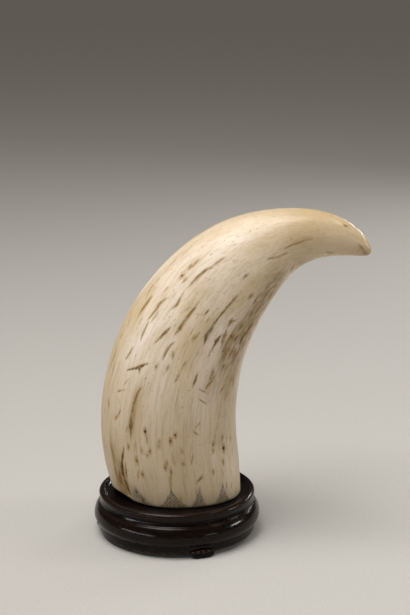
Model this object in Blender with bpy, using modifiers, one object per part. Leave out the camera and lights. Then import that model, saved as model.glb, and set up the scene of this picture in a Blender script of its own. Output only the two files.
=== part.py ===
"""A scrimshaw whale tooth resting in a turned dark-wood stand on three carved scroll feet.

Everything is in metres with +Z up. The stand's axis is the working centre while the pieces
are made; at the end all of them move together so that the whole stands centred on the origin.
"""

import bpy
import numpy as np

COLLECTION = "scrimshaw_whale_tooth"
REST_GAP = 0.0003  # air left between two pieces that touch

# Tooth's root, which the dish is turned to take
ROOT_HALF_WIDTH = 0.0300
ROOT_SIDE_CLEARANCE = 0.0016

# Stand, the lathe's cuts outward from the dish
COVE_WIDTH = 0.0024
RIM_LIP = 0.0009
RIM_THICKNESS = 0.0015
GROOVE_DEPTH = 0.0009
SHOULDER_STEP = 0.0010
SWELL_OUT = 0.0023
FOOT_RING_INSET = 0.0022
FOOT_RING_BEVEL = 0.0004
DISH_RADIUS = ROOT_HALF_WIDTH + ROOT_SIDE_CLEARANCE
RIM_INNER_RADIUS = DISH_RADIUS + COVE_WIDTH
RIM_TOP_RADIUS = RIM_INNER_RADIUS + RIM_LIP
RIM_RADIUS = RIM_TOP_RADIUS + RIM_THICKNESS
GROOVE_RADIUS = RIM_RADIUS - GROOVE_DEPTH
SHOULDER_RADIUS = GROOVE_RADIUS + SHOULDER_STEP
SWELL_RADIUS = SHOULDER_RADIUS + SWELL_OUT
FOOT_RING_RADIUS = SWELL_RADIUS - FOOT_RING_INSET

# Stand, the lathe's cuts upward from the feet
FOOT_THICKNESS = 0.0017
FOOT_RING_HEIGHT = 0.0039
SWELL_BELOW = 0.0034
SWELL_ABOVE = 0.0055
SHOULDER_TO_GROOVE = 0.0019
GROOVE_TO_RIM = 0.0026
RIM_CROWN = 0.0014
RIM_LIP_DROP = 0.0004
DISH_DEPTH = 0.0020
FOOT_RING_BOTTOM = FOOT_THICKNESS + REST_GAP
FOOT_RING_TOP = FOOT_RING_BOTTOM + FOOT_RING_HEIGHT
SWELL_HEIGHT = FOOT_RING_TOP + SWELL_BELOW
SHOULDER_HEIGHT = SWELL_HEIGHT + SWELL_ABOVE
GROOVE_HEIGHT = SHOULDER_HEIGHT + SHOULDER_TO_GROOVE
RIM_WIDEST_HEIGHT = GROOVE_HEIGHT + GROOVE_TO_RIM
RIM_TOP = RIM_WIDEST_HEIGHT + RIM_CROWN
SEAT_HEIGHT = RIM_TOP - DISH_DEPTH
STAND_STEPS = 72

# Feet, each glued under the foot ring with its toe turned up in front of it
FOOT_DIRECTIONS = (176.0, -64.0, 56.0)
FOOT_WIDTH = 0.0110
FOOT_REACH_IN = 0.0076
TOE_THICKNESS = 0.0016
TOE_BELOW_SWELL = 0.0019
TOE_ROUNDING = 0.0008
TOE_SIDE_DROP = 0.0007
TOE_SIDE_BACK = 0.0004
FOOT_SIDE_LIFT = 0.0012
FOOT_FLAT_SHARE = 0.55  # middle share of the width that rests on the table
FOOT_INNER_RADIUS = FOOT_RING_RADIUS - FOOT_REACH_IN
TOE_INNER_RADIUS = FOOT_RING_RADIUS + REST_GAP
TOE_RADIUS = TOE_INNER_RADIUS + TOE_THICKNESS
TOE_TOP = FOOT_RING_TOP - TOE_BELOW_SWELL
FOOT_STATIONS = 13

# Shallow undercut of the stand, inside the feet
UNDERCUT_MARGIN = 0.0025
UNDERCUT_DEPTH = 0.0030
UNDERCUT_TAPER = 0.0010
UNDERCUT_RADIUS = FOOT_INNER_RADIUS - UNDERCUT_MARGIN

# Tooth: how far along, heading above level in degrees, half width as a share of the root's
TOOTH_LENGTH = 0.1820
TOOTH_STATIONS = (
    (0.00, 97.0, 1.000),
    (0.10, 98.0, 1.040),
    (0.25, 83.5, 1.033),
    (0.45, 63.0, 0.933),
    (0.65, 41.0, 0.733),
    (0.82, 11.0, 0.450),
    (0.93, -19.0, 0.350),
    (1.00, -39.0, 0.267),
)
DEPTH_SHARE_ROOT = 0.80  # thickness across the bend over width in it
DEPTH_SHARE_TIP = 0.88
TIP_BLUNTNESS = 10.0
LEVEL_CUT_SHARE = 0.12  # share of the length over which sections turn from level to square-on
ROOT_EDGE_ROUNDING = 0.0010
TOOTH_RINGS = 34
TOOTH_SIDES = 48

# Break in the root's edge, by direction from -X in degrees, negative towards the front
BREAK_HEIGHT = 0.0034
BREAK_FROM = -2.0
BREAK_TO = -57.0
BREAK_LIP = 0.0020  # thin wall left standing between the break and the hollow
BREAK_SLOPE = 0.0006
WEAR_HEIGHT = 0.0009
WEAR_TO = -84.0

# Hollow of the root
HOLLOW_WALL = 0.0075
HOLLOW_DEPTH = 0.0560
HOLLOW_RINGS = 9

IVORY = (0.78, 0.68, 0.50, 1.0)
DARK_WOOD = (0.030, 0.020, 0.017, 1.0)


def clear_scene():
    for item in list(bpy.data.objects):
        bpy.data.objects.remove(item)


def make_material(name, colour, roughness):
    material = bpy.data.materials.new(name)
    material.use_nodes = True
    shader = material.node_tree.nodes["Principled BSDF"]
    shader.inputs["Base Color"].default_value = colour
    shader.inputs["Roughness"].default_value = roughness
    return material


def add_object(name, points, faces, material, collection):
    mesh = bpy.data.meshes.new(name)
    mesh.from_pydata([tuple(point) for point in points], [], faces)
    mesh.materials.append(material)
    item = bpy.data.objects.new(name, mesh)
    collection.objects.link(item)
    return item


def quarter_turn(centre, wide, high, start, end, steps):
    """Points on an ellipse's arc in the profile plane, angles in degrees from straight out."""
    angles = np.radians(np.linspace(start, end, steps))
    return [(centre[0] + wide * np.cos(a), centre[1] + high * np.sin(a)) for a in angles]


def stand_profile():
    """Radius and height from the dish's centre over the rim and down to the underside's centre."""
    points = [(0.0, SEAT_HEIGHT), (DISH_RADIUS, SEAT_HEIGHT)]
    cove_height = RIM_TOP - RIM_LIP_DROP - SEAT_HEIGHT
    for share in (0.35, 0.7, 1.0):
        radius = DISH_RADIUS + share * (RIM_INNER_RADIUS - DISH_RADIUS)
        points.append((radius, SEAT_HEIGHT + cove_height * share**2))
    rim_centre = (RIM_TOP_RADIUS, RIM_WIDEST_HEIGHT)
    points += quarter_turn(rim_centre, RIM_THICKNESS, RIM_CROWN, 90, 0, 5)
    under_centre = (GROOVE_RADIUS, RIM_WIDEST_HEIGHT)
    points += quarter_turn(under_centre, GROOVE_DEPTH, GROOVE_TO_RIM, -30, -90, 3)
    points.append((SHOULDER_RADIUS, SHOULDER_HEIGHT))
    for share in (0.8, 0.6, 0.4, 0.2, 0.0):
        radius = SWELL_RADIUS - SWELL_OUT * share**2
        points.append((radius, SWELL_HEIGHT + SWELL_ABOVE * share))
    below_centre = (FOOT_RING_RADIUS, SWELL_HEIGHT)
    points += quarter_turn(below_centre, FOOT_RING_INSET, SWELL_BELOW, -22, -90, 4)
    points.append((FOOT_RING_RADIUS, FOOT_RING_BOTTOM + FOOT_RING_BEVEL))
    points.append((FOOT_RING_RADIUS - FOOT_RING_BEVEL, FOOT_RING_BOTTOM))
    points.append((UNDERCUT_RADIUS, FOOT_RING_BOTTOM))
    points.append((UNDERCUT_RADIUS - UNDERCUT_TAPER, FOOT_RING_BOTTOM + UNDERCUT_DEPTH))
    points.append((0.0, FOOT_RING_BOTTOM + UNDERCUT_DEPTH))
    return points


def make_stand(material, collection):
    profile = stand_profile()
    mesh = bpy.data.meshes.new("stand")
    points = [(radius, 0.0, height) for radius, height in profile]
    edges = [(i, i + 1) for i in range(len(points) - 1)]
    mesh.from_pydata(points, edges, [])
    mesh.materials.append(material)
    item = bpy.data.objects.new("stand", mesh)
    collection.objects.link(item)
    turn = item.modifiers.new("turning", "SCREW")
    turn.axis = "Z"
    turn.steps = STAND_STEPS
    turn.render_steps = STAND_STEPS
    turn.use_merge_vertices = True
    turn.merge_threshold = 0.00001
    turn.use_smooth_shade = True
    return item


def foot_section(share):
    """Radius and height round one upright section of a foot; share runs -1 to 1 across it."""
    curl = max(0.0, abs(share) - FOOT_FLAT_SHARE) / (1.0 - FOOT_FLAT_SHARE)
    lift = FOOT_SIDE_LIFT * curl**2
    front = TOE_RADIUS - TOE_SIDE_BACK * share**2
    top = TOE_TOP - TOE_SIDE_DROP * share**2
    r = TOE_ROUNDING
    return [
        (FOOT_INNER_RADIUS, lift),
        (front - r, lift),
        (front - 0.3 * r, lift + 0.3 * r),
        (front, lift + r),
        (front - 0.1 * r, top - 1.2 * r),
        (front - 0.5 * r, top - 0.25 * r),
        (front - 1.1 * r, top),
        (TOE_INNER_RADIUS, top - 0.6 * r),
        (TOE_INNER_RADIUS, FOOT_THICKNESS),
        (FOOT_INNER_RADIUS, FOOT_THICKNESS),
    ]


def make_foot(name, direction, material, collection):
    """A short carved bracket under the foot ring with a scroll toe turned up in front of it."""
    half_turn = 0.5 * FOOT_WIDTH / TOE_RADIUS
    shares = np.linspace(-1.0, 1.0, FOOT_STATIONS)
    points = []
    for share in shares:
        angle = np.radians(direction) + share * half_turn
        for radius, height in foot_section(share):
            points.append((radius * np.cos(angle), radius * np.sin(angle), height))
    size = len(foot_section(0.0))
    faces = []
    for k in range(FOOT_STATIONS - 1):
        for i in range(size):
            j = (i + 1) % size
            near, far = k * size, (k + 1) * size
            faces.append((near + i, near + j, far + j, far + i))
    last = (FOOT_STATIONS - 1) * size
    faces.append(tuple(reversed(range(size))))
    faces.append(tuple(range(last, last + size)))
    faces = [tuple(reversed(face)) for face in faces]
    return add_object(name, points, faces, material, collection)


def smooth_through(shares, values, at):
    """A smooth curve through a few stations, each piece a cubic that keeps the slope."""
    slopes = np.gradient(values, shares)
    k = np.clip(np.searchsorted(shares, at, side="right") - 1, 0, len(shares) - 2)
    gap = shares[k + 1] - shares[k]
    t = (at - shares[k]) / gap
    near = (1 + 2 * t) * (1 - t) ** 2 * values[k] + t * (1 - t) ** 2 * gap * slopes[k]
    far = t * t * (3 - 2 * t) * values[k + 1] + t * t * (t - 1) * gap * slopes[k + 1]
    return near + far


class ToothSpine:
    """The tooth's bent centre line with its half width and section tilt at any share along it."""

    def __init__(self):
        table = np.array(TOOTH_STATIONS)
        self.shares, self.headings, self.halves = table.T
        self.halves = self.halves * ROOT_HALF_WIDTH
        self.fine = np.linspace(0.0, 1.0, 801)
        heading = np.radians(smooth_through(self.shares, self.headings, self.fine))
        middle = 0.5 * (heading[1:] + heading[:-1])
        step = TOOTH_LENGTH / (len(self.fine) - 1)
        self.along_x = np.concatenate([[0.0], np.cumsum(np.cos(middle)) * step])
        self.along_z = np.concatenate([[0.0], np.cumsum(np.sin(middle)) * step])

    def centre(self, share):
        x = np.interp(share, self.fine, self.along_x)
        z = SEAT_HEIGHT + REST_GAP + np.interp(share, self.fine, self.along_z)
        return x, z

    def tilt(self, share):
        heading = np.radians(smooth_through(self.shares, self.headings, share))
        turn = np.clip(share / LEVEL_CUT_SHARE, 0.0, 1.0)
        turn = turn * turn * (3.0 - 2.0 * turn)
        return np.pi / 2 + (heading - np.pi / 2) * turn

    def half_width(self, share):
        round_off = np.sqrt(np.clip(1.0 - share**TIP_BLUNTNESS, 0.0, None))
        return smooth_through(self.shares, self.halves, share) * round_off

    def ring(self, share, half, angle):
        """Points at one share along; angle 0 faces -X, a quarter turn back faces the front."""
        x, z = self.centre(share)
        tilt = self.tilt(share)
        depth = DEPTH_SHARE_ROOT + (DEPTH_SHARE_TIP - DEPTH_SHARE_ROOT) * share
        across = half * np.cos(angle)
        px = x - np.sin(tilt) * across
        pz = z + np.cos(tilt) * across
        py = depth * half * np.sin(angle)
        return np.stack([px, py, pz], axis=-1)


def root_edge_rise(angle):
    """How far the broken and worn edge of the root stands above the seat, by direction."""
    degrees = np.degrees(angle)
    across = np.clip((degrees - BREAK_FROM) / (BREAK_TO - BREAK_FROM), 0.0, 1.0)
    broken = BREAK_HEIGHT * np.sin(np.pi * across) ** 0.6
    fade = np.clip((degrees - WEAR_TO) / (BREAK_TO - WEAR_TO), 0.0, 1.0)
    worn = WEAR_HEIGHT * fade**1.5 * across
    return np.maximum(broken, worn)


def tooth_rings(spine):
    """All rings from the tip down the outside, round the root's edge and up the hollow."""
    angle = np.linspace(-np.pi, np.pi, TOOTH_SIDES, endpoint=False)
    rise = root_edge_rise(angle) / TOOTH_LENGTH
    rounding = ROOT_EDGE_ROUNDING / TOOTH_LENGTH
    rings = []
    for step in range(1, TOOTH_RINGS):
        share = 1.0 - (step / TOOTH_RINGS) ** 1.6
        share = rise + rounding + (1.0 - rise - rounding) * share
        rings.append(spine.ring(share, spine.half_width(share), angle))
    for turn in np.radians((0.0, 30.0, 60.0, 90.0)):
        share = rise + rounding * (1.0 - np.sin(turn))
        half = spine.half_width(share) - ROOT_EDGE_ROUNDING * (1.0 - np.cos(turn))
        rings.append(spine.ring(share, half, angle))
    mouth = spine.half_width(0.0) - HOLLOW_WALL
    rings.append(spine.ring(rise, mouth + BREAK_LIP + BREAK_SLOPE, angle))
    level = np.zeros(TOOTH_SIDES)
    rings.append(spine.ring(level, mouth + BREAK_LIP, angle))
    for step in range(HOLLOW_RINGS):
        up = step / HOLLOW_RINGS
        half = mouth * (1.0 - up) ** 0.75
        rings.append(spine.ring(level + up * HOLLOW_DEPTH / TOOTH_LENGTH, half, angle))
    return rings


def make_tooth(material, collection):
    spine = ToothSpine()
    rings = tooth_rings(spine)
    tip = spine.ring(1.0, 0.0, np.zeros(1))[0]
    apex = spine.ring(HOLLOW_DEPTH / TOOTH_LENGTH, 0.0, np.zeros(1))[0]
    points = np.concatenate([[tip]] + rings + [[apex]])
    faces = []
    for i in range(TOOTH_SIDES):
        j = (i + 1) % TOOTH_SIDES
        faces.append((0, 1 + j, 1 + i))
        for k in range(len(rings) - 1):
            near = 1 + k * TOOTH_SIDES
            far = near + TOOTH_SIDES
            faces.append((near + i, near + j, far + j, far + i))
        last = 1 + (len(rings) - 1) * TOOTH_SIDES
        faces.append((last + i, last + j, len(points) - 1))
    return add_object("tooth", points, faces, material, collection)


def lengthwise_span(items):
    graph = bpy.context.evaluated_depsgraph_get()
    low, high = [], []
    for item in items:
        shape = item.evaluated_get(graph).to_mesh()
        across = [vertex.co.x for vertex in shape.vertices]
        low.append(min(across))
        high.append(max(across))
    return min(low), max(high)


def main():
    clear_scene()
    collection = bpy.data.collections.new(COLLECTION)
    bpy.context.scene.collection.children.link(collection)
    ivory = make_material("tooth_ivory", IVORY, 0.35)
    wood = make_material("stand_dark_wood", DARK_WOOD, 0.30)
    items = [make_tooth(ivory, collection), make_stand(wood, collection)]
    for number, direction in enumerate(FOOT_DIRECTIONS, start=1):
        items.append(make_foot(f"stand_foot_{number}", direction, wood, collection))
    low, high = lengthwise_span(items)
    for item in items:
        item.location.x = -0.5 * (low + high)


main()
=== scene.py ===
# %% [markdown]
# # A scrimshaw whale tooth on its turned stand
#
# The object is a sperm whale's tooth, polished and bent like a horn, that stands on its root in
# a small lathe-turned dish of dark wood on three carved feet. Sailors scratched lines into such
# teeth and rubbed ink into them: here only a border of hatched points runs round the root.
#
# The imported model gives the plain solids. This lesson replaces each with a finer surface of the
# same form, worked out with numpy, and then gives ivory and wood their finish.

import bpy
import numpy as np
from mathutils import Matrix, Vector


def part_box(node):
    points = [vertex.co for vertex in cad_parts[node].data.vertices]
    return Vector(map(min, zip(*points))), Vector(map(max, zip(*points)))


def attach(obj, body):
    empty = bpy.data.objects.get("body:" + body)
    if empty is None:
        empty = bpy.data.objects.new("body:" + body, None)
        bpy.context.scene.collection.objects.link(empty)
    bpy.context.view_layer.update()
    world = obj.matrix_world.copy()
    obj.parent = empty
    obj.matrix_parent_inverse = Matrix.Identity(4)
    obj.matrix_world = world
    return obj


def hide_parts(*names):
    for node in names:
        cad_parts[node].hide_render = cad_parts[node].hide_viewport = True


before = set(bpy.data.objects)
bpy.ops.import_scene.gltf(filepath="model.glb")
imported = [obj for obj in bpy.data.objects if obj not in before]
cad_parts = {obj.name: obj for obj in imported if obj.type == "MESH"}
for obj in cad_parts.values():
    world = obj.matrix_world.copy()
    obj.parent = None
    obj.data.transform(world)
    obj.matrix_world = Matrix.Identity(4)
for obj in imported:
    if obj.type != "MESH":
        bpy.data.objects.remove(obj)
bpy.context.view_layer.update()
MM = 0.001
STAND_LOW, STAND_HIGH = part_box("stand")
AXIS_X = 0.5 * (STAND_LOW.x + STAND_HIGH.x)

# %% [markdown]
# ## The camera
#
# The photograph was taken from a little above with a long lens, which keeps the tooth's curve
# undistorted. The camera could be turned by hand until the view looks right, but here its place
# is worked out: three axes, an eye and an aim. The same numbers then turn any point of the
# surface into a pixel of the photograph, which later places each crack where it belongs.

# %% Camera
PHOTO_WIDTH, PHOTO_HEIGHT = 410, 615
LENS_MM = 85.0
SENSOR_MM = 36.0
CAMERA_DOWN = np.radians(14.0)
CAMERA_ROUND = np.radians(8.0)
CAMERA_DISTANCE = 661.0 * MM
AIM_HEIGHT = 107.1 * MM
AIM_ASIDE = 13.2 * MM
SEAT_HEIGHT = 18.7 * MM


def facing(place, aim):
    """Right, up and backward directions of an upright thing that looks from a place to an aim."""
    back = np.array(place) - np.array(aim)
    back = back / np.linalg.norm(back)
    right = np.cross([0.0, 0.0, 1.0], back)
    right = right / np.linalg.norm(right)
    return right, np.cross(back, right), back


def put_in_scene(name, data, axes, place):
    """A new object whose own X, Y and Z axes are the three given ones; cameras and lamps look along -Z."""
    item = bpy.data.objects.new(name, data)
    bpy.context.scene.collection.objects.link(item)
    turn = np.eye(4)
    turn[:3, :3] = np.stack(axes, axis=1)
    turn[:3, 3] = place
    item.matrix_world = Matrix(turn.tolist())
    return item


def camera_eye_and_axes():
    """The eye from azimuth, tilt and distance, and its axes towards an aim a little to the right."""
    away = np.array([np.sin(CAMERA_ROUND), -np.cos(CAMERA_ROUND), 0.0])
    middle = np.array([AXIS_X, 0.0, AIM_HEIGHT])
    eye = middle + CAMERA_DISTANCE * (away * np.cos(CAMERA_DOWN) + [0, 0, np.sin(CAMERA_DOWN)])
    aim = middle + AIM_ASIDE * np.array([np.cos(CAMERA_ROUND), np.sin(CAMERA_ROUND), 0.0])
    return eye, facing(eye, aim)


EYE, VIEW_AXES = camera_eye_and_axes()


def photo_pixels(points):
    """Column and row in the photograph of points in space: offset over depth, times the focal length."""
    right, up, back = VIEW_AXES
    focal = LENS_MM / SENSOR_MM * PHOTO_HEIGHT
    offset = points - EYE
    depth = -(offset @ back)
    column = PHOTO_WIDTH / 2 + focal * (offset @ right) / depth
    row = PHOTO_HEIGHT / 2 - focal * (offset @ up) / depth
    return column, row


def make_camera():
    lens = bpy.data.cameras.new("camera")
    lens.lens = LENS_MM
    lens.sensor_fit = "VERTICAL"
    lens.sensor_height = SENSOR_MM
    lens.clip_end = 60.0
    bpy.context.scene.camera = put_in_scene("camera", lens, VIEW_AXES, EYE)


make_camera()
print("stand's centre falls on pixel", photo_pixels(np.array([AXIS_X, 0.0, SEAT_HEIGHT])))

# %% [markdown]
# ## Helpers
#
# Every surface of the object is a stack of rings: each ring has the same number of points,
# neighbouring rings are joined by four-sided faces, and one point closes each end. Such a stack
# becomes a closed mesh with its own map of the surface and any values stored at its points.


# %% Helpers for surfaces
NOISE_CELLS = 64  # the noise repeats after so many cells, so that many of them close a ring


def smoothstep(low, high, value):
    """0 below low, 1 above high, and a soft S between them."""
    t = np.clip((value - low) / (high - low), 0.0, 1.0)
    return t * t * (3.0 - 2.0 * t)


def lattice_noise(across, along, seed):
    """Smooth noise from -1 to 1: random values at whole numbers, blended softly in between."""
    table = np.random.default_rng(seed).uniform(-1.0, 1.0, (NOISE_CELLS, NOISE_CELLS))
    i, j = np.floor(across).astype(int), np.floor(along).astype(int)
    u, v = smoothstep(0.0, 1.0, across - i), smoothstep(0.0, 1.0, along - j)
    i_next, j_next = (i + 1) % NOISE_CELLS, (j + 1) % NOISE_CELLS
    i, j = i % NOISE_CELLS, j % NOISE_CELLS
    low = table[i, j] * (1 - u) + table[i_next, j] * u
    high = table[i, j_next] * (1 - u) + table[i_next, j_next] * u
    return low * (1 - v) + high * v


def ring_normals(rings):
    """Outward directions of a stack of rings: the step along a ring crossed with the step to the next."""
    around = np.roll(rings, -1, axis=1) - np.roll(rings, 1, axis=1)
    between = np.gradient(rings, axis=0)
    normal = np.cross(around, between)
    return normal / np.maximum(np.linalg.norm(normal, axis=-1, keepdims=True), 1e-12)


# %% A closed mesh from a stack of rings
def ring_faces(count, around):
    """Four-sided faces between neighbouring rings, then a fan of triangles at each end."""
    i = np.arange(around)
    j = (i + 1) % around
    near = 1 + np.arange(count - 1)[:, None] * around
    quads = np.stack([near + i, near + j, near + around + j, near + around + i], axis=-1)
    end = 1 + (count - 1) * around
    top = np.stack([0 * i, 1 + j, 1 + i], axis=-1)
    bottom = np.stack([end + i, end + j, 0 * i + end + around], axis=-1)
    return quads.reshape(-1, 4).tolist() + top.tolist() + bottom.tolist()


def ring_map(count, around):
    """The same faces' corners on a flat map: once round is 0 to 1 across, end to end is 0 to 1 up."""
    u, u_next = np.arange(around) / around, (np.arange(around) + 1) / around
    v = (np.arange(count) + 0.5) / count
    left, low = np.meshgrid(u, v[:-1])
    right, high = np.meshgrid(u_next, v[1:])
    corners = np.stack([left, low, right, low, right, high, left, high], axis=-1)
    top = np.stack([u, 0 * u, u_next, 0 * u + v[0], u, 0 * u + v[0]], axis=-1)
    bottom = np.stack([u, 0 * u + v[-1], u_next, 0 * u + v[-1], u, 0 * u + 1], axis=-1)
    return np.concatenate([corners.ravel(), top.ravel(), bottom.ravel()])


def stack_of_rings(name, rings, first, last, values):
    """Joins rings of points, shape (rings, around, 3), and a point at each end; points keep their values."""
    count, around = rings.shape[:2]
    points = np.concatenate([[first], rings.reshape(-1, 3), [last]])
    faces = ring_faces(count, around)
    mesh = bpy.data.meshes.new(name)
    mesh.from_pydata(points, [], faces)
    mesh.polygons.foreach_set("use_smooth", np.ones(len(faces), dtype=bool))
    mesh.uv_layers.new(name="surface").data.foreach_set("uv", ring_map(count, around))
    for key, value in values.items():
        kind, field = ("FLOAT", "value") if value.ndim == 2 else ("FLOAT_VECTOR", "vector")
        body = value.reshape(count * around, -1)
        stored = np.concatenate([body[:1], body, body[-1:]]).ravel()
        mesh.attributes.new(key, kind, "POINT").data.foreach_set(field, stored)
    mesh.update()
    piece = bpy.data.objects.new(name, mesh)
    bpy.context.scene.collection.objects.link(piece)
    print(name, len(points), "points,", 2 * count * around, "triangles")
    return piece

# %% [markdown]
# ## The tooth's form
#
# A whale's tooth grows as a cone that bends as it grows: its cross sections are ovals strung
# along a curved centre line. Sculpting it would work, but a lesson is easier to follow when the
# bend is a few numbers: the heading and the half width at eight stations, joined by smooth
# curves. Walking along the headings gives the centre line.

# %% The tooth's driving sizes
REST_GAP = 0.3 * MM
TOOTH_LENGTH = 182.0 * MM
ROOT_HALF_WIDTH = 30.0 * MM
STATIONS = np.array(
    [  # how far along, heading above level in degrees, half width over the root's
        (0.00, 97.0, 1.000),
        (0.10, 98.0, 1.040),
        (0.25, 83.5, 1.033),
        (0.45, 63.0, 0.933),
        (0.65, 41.0, 0.733),
        (0.82, 11.0, 0.450),
        (0.93, -19.0, 0.350),
        (1.00, -39.0, 0.267),
    ]
)
DEPTH_SHARE_ROOT = 0.80
DEPTH_SHARE_TIP = 0.88
TIP_BLUNTNESS = 10.0
LEVEL_CUT_SHARE = 0.12
EDGE_ROUNDING = 1.0 * MM
FINE = np.linspace(0.0, 1.0, 801)


def smooth_through(values, at):
    """A smooth curve through the stations: between two of them a cubic that keeps both slopes."""
    shares = STATIONS[:, 0]
    slopes = np.gradient(values, shares)
    k = np.clip(np.searchsorted(shares, at, side="right") - 1, 0, len(shares) - 2)
    gap = shares[k + 1] - shares[k]
    t = (at - shares[k]) / gap
    near = (1 + 2 * t) * (1 - t) ** 2 * values[k] + t * (1 - t) ** 2 * gap * slopes[k]
    far = t * t * (3 - 2 * t) * values[k + 1] + t * t * (t - 1) * gap * slopes[k + 1]
    return near + far


def centre_line():
    """x and z along the centre line: the sum of small steps, each in its own heading."""
    heading = np.radians(smooth_through(STATIONS[:, 1], FINE))
    middle = 0.5 * (heading[1:] + heading[:-1])
    step = TOOTH_LENGTH / (len(FINE) - 1)
    x = np.concatenate([[0.0], np.cumsum(np.cos(middle)) * step])
    z = np.concatenate([[0.0], np.cumsum(np.sin(middle)) * step])
    return x + AXIS_X, z + SEAT_HEIGHT + REST_GAP


LINE_X, LINE_Z = centre_line()


def half_width(share):
    """Half width in the plane of the bend; a steep root closes it to nothing at the very tip."""
    blunt = np.sqrt(np.clip(1.0 - share**TIP_BLUNTNESS, 0.0, None))
    return smooth_through(STATIONS[:, 2] * ROOT_HALF_WIDTH, share) * blunt


def tooth_point(share, half, angle):
    """An oval of that half width, square to the centre line; angle 0 faces -X, -90 degrees the front."""
    heading = np.radians(smooth_through(STATIONS[:, 1], share))
    tilt = np.pi / 2 + (heading - np.pi / 2) * smoothstep(0.0, LEVEL_CUT_SHARE, share)
    depth = DEPTH_SHARE_ROOT + (DEPTH_SHARE_TIP - DEPTH_SHARE_ROOT) * share
    across = half * np.cos(angle)
    x = np.interp(share, FINE, LINE_X) - np.sin(tilt) * across
    z = np.interp(share, FINE, LINE_Z) + np.cos(tilt) * across
    return np.stack([x, depth * half * np.sin(angle), z], axis=-1)


# %% [markdown]
# The root's edge is broken away at the front left, where the sawn end once chipped, and worn a
# little beside the break. The edge is therefore not one height: it is a function of direction.
# Inside, the root is hollow, as the pulp left it, and the break stops at a thin inner lip.

# %% The root's broken edge and its hollow
BREAK_HEIGHT = 3.4 * MM
BREAK_FROM, BREAK_TO = -2.0, -57.0
BREAK_LIP = 2.0 * MM
BREAK_SLOPE = 0.6 * MM
WEAR_HEIGHT = 0.9 * MM
WEAR_TO = -84.0
HOLLOW_WALL = 7.5 * MM
HOLLOW_DEPTH = 56.0 * MM


def root_edge_rise(angle):
    """Height of the edge above the seat: a sine arch over the break, a fading slope beside it."""
    degrees = (np.degrees(angle) + 180.0) % 360.0 - 180.0
    across = np.clip((degrees - BREAK_FROM) / (BREAK_TO - BREAK_FROM), 0.0, 1.0)
    broken = BREAK_HEIGHT * np.sin(np.pi * across) ** 0.6
    fade = np.clip((degrees - WEAR_TO) / (BREAK_TO - WEAR_TO), 0.0, 1.0)
    return np.maximum(broken, WEAR_HEIGHT * fade**1.5 * across)


# %% [markdown]
# The grid's rows follow the engraver's needs: every 0.3 mm near the root, where the border and
# the cracks are, about every 0.65 mm further up, and closer again where the tip rounds over.

# %% Rows and columns of the tooth's grid
SIDES = 288
FIRST_ANGLE = -1.25 * np.pi  # the seam runs down the back
ANGLE = FIRST_ANGLE + 2 * np.pi * np.arange(SIDES) / SIDES
FINE_SPACING, ADDED_SPACING = 0.30, 0.36  # mm between rows near the root, and what is added further up
FINE_UP_TO, WIDE_FROM = 11.0, 24.0  # mm from the root
TIP_SPACING, TIP_SHARE = 0.10, 0.10  # mm, and the share of the way that is left
LAST_ROW_GAP = 0.16  # mm
EDGE_ROWS, UNDERSIDE_ROWS, LIP_ROWS = 5, 6, 4
HOLLOW_ROWS = np.concatenate([[0.0, 0.008, 0.03], np.linspace(0.08, 0.985, 11)])  # closer at the mouth
HOLLOW_TAPER = 0.75


def row_places():
    """Distances from the root's edge to the tip; each step is the wanted spacing at that place."""
    places = [0.0]
    end = TOOTH_LENGTH / MM
    while places[-1] < end - LAST_ROW_GAP:
        at = places[-1]
        spacing = FINE_SPACING + ADDED_SPACING * smoothstep(FINE_UP_TO, WIDE_FROM, at)
        places.append(at + min(spacing, TIP_SPACING + TIP_SHARE * (end - at)))
    return np.array(places[::-1]) * MM


def tooth_rings():
    """Rings from the tip down the outside, round the root's edge, over the break and up the hollow."""
    rise = root_edge_rise(ANGLE) / TOOTH_LENGTH
    rounding = EDGE_ROUNDING / TOOTH_LENGTH
    start = rise + rounding
    outer = row_places()[:, None] / TOOTH_LENGTH
    shares = [start + (1.0 - start) * outer]
    halves = [half_width(shares[0])]
    turn = np.radians(90.0 / EDGE_ROWS * np.arange(1, EDGE_ROWS + 1))[:, None]
    edge = rise + rounding * (1.0 - np.sin(turn))
    shares.append(edge)
    halves.append(half_width(edge) - EDGE_ROUNDING * (1.0 - np.cos(turn)))
    mouth = half_width(np.zeros(1))[0] - HOLLOW_WALL
    inward = np.linspace(0.0, 1.0, UNDERSIDE_ROWS + 1)[1:, None]
    outside = halves[-1][-1]
    shares.append(rise + 0.0 * inward)
    halves.append(outside + (mouth + BREAK_LIP + BREAK_SLOPE - outside) * inward)
    down = np.linspace(0.0, 1.0, LIP_ROWS + 1)[1:, None]
    shares.append(rise * (1.0 - down))
    halves.append(mouth + BREAK_LIP + BREAK_SLOPE * (1.0 - down) + 0.0 * rise)
    up = HOLLOW_ROWS[:, None]
    shares.append(up * HOLLOW_DEPTH / TOOTH_LENGTH + 0.0 * rise)
    halves.append(mouth * (1.0 - up) ** HOLLOW_TAPER + 0.0 * rise)
    return np.concatenate(shares), np.concatenate(halves), len(outer) + EDGE_ROWS


SHARE, HALF, SKIN_ROWS = tooth_rings()
FORM = tooth_point(SHARE, HALF, np.broadcast_to(ANGLE, SHARE.shape))
NORMAL = ring_normals(FORM)
print("tooth grid", FORM.shape, "rows of the outer skin", SKIN_ROWS)

# %% [markdown]
# ## Marks on the tooth
#
# Cracks, stained scratches and worm pits are the tooth's history, and each is a short stroke:
# a line with a width, a depth and a tone. Painting them on an image would work, but an image is
# only as sharp as its pixels. Here every point of the surface stores how far it lies across and
# beyond the nearest stroke. These distances are straight lines over a face, so the material
# finds the exact edge of a stroke between the points, and the same distances carve the groove.

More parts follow.
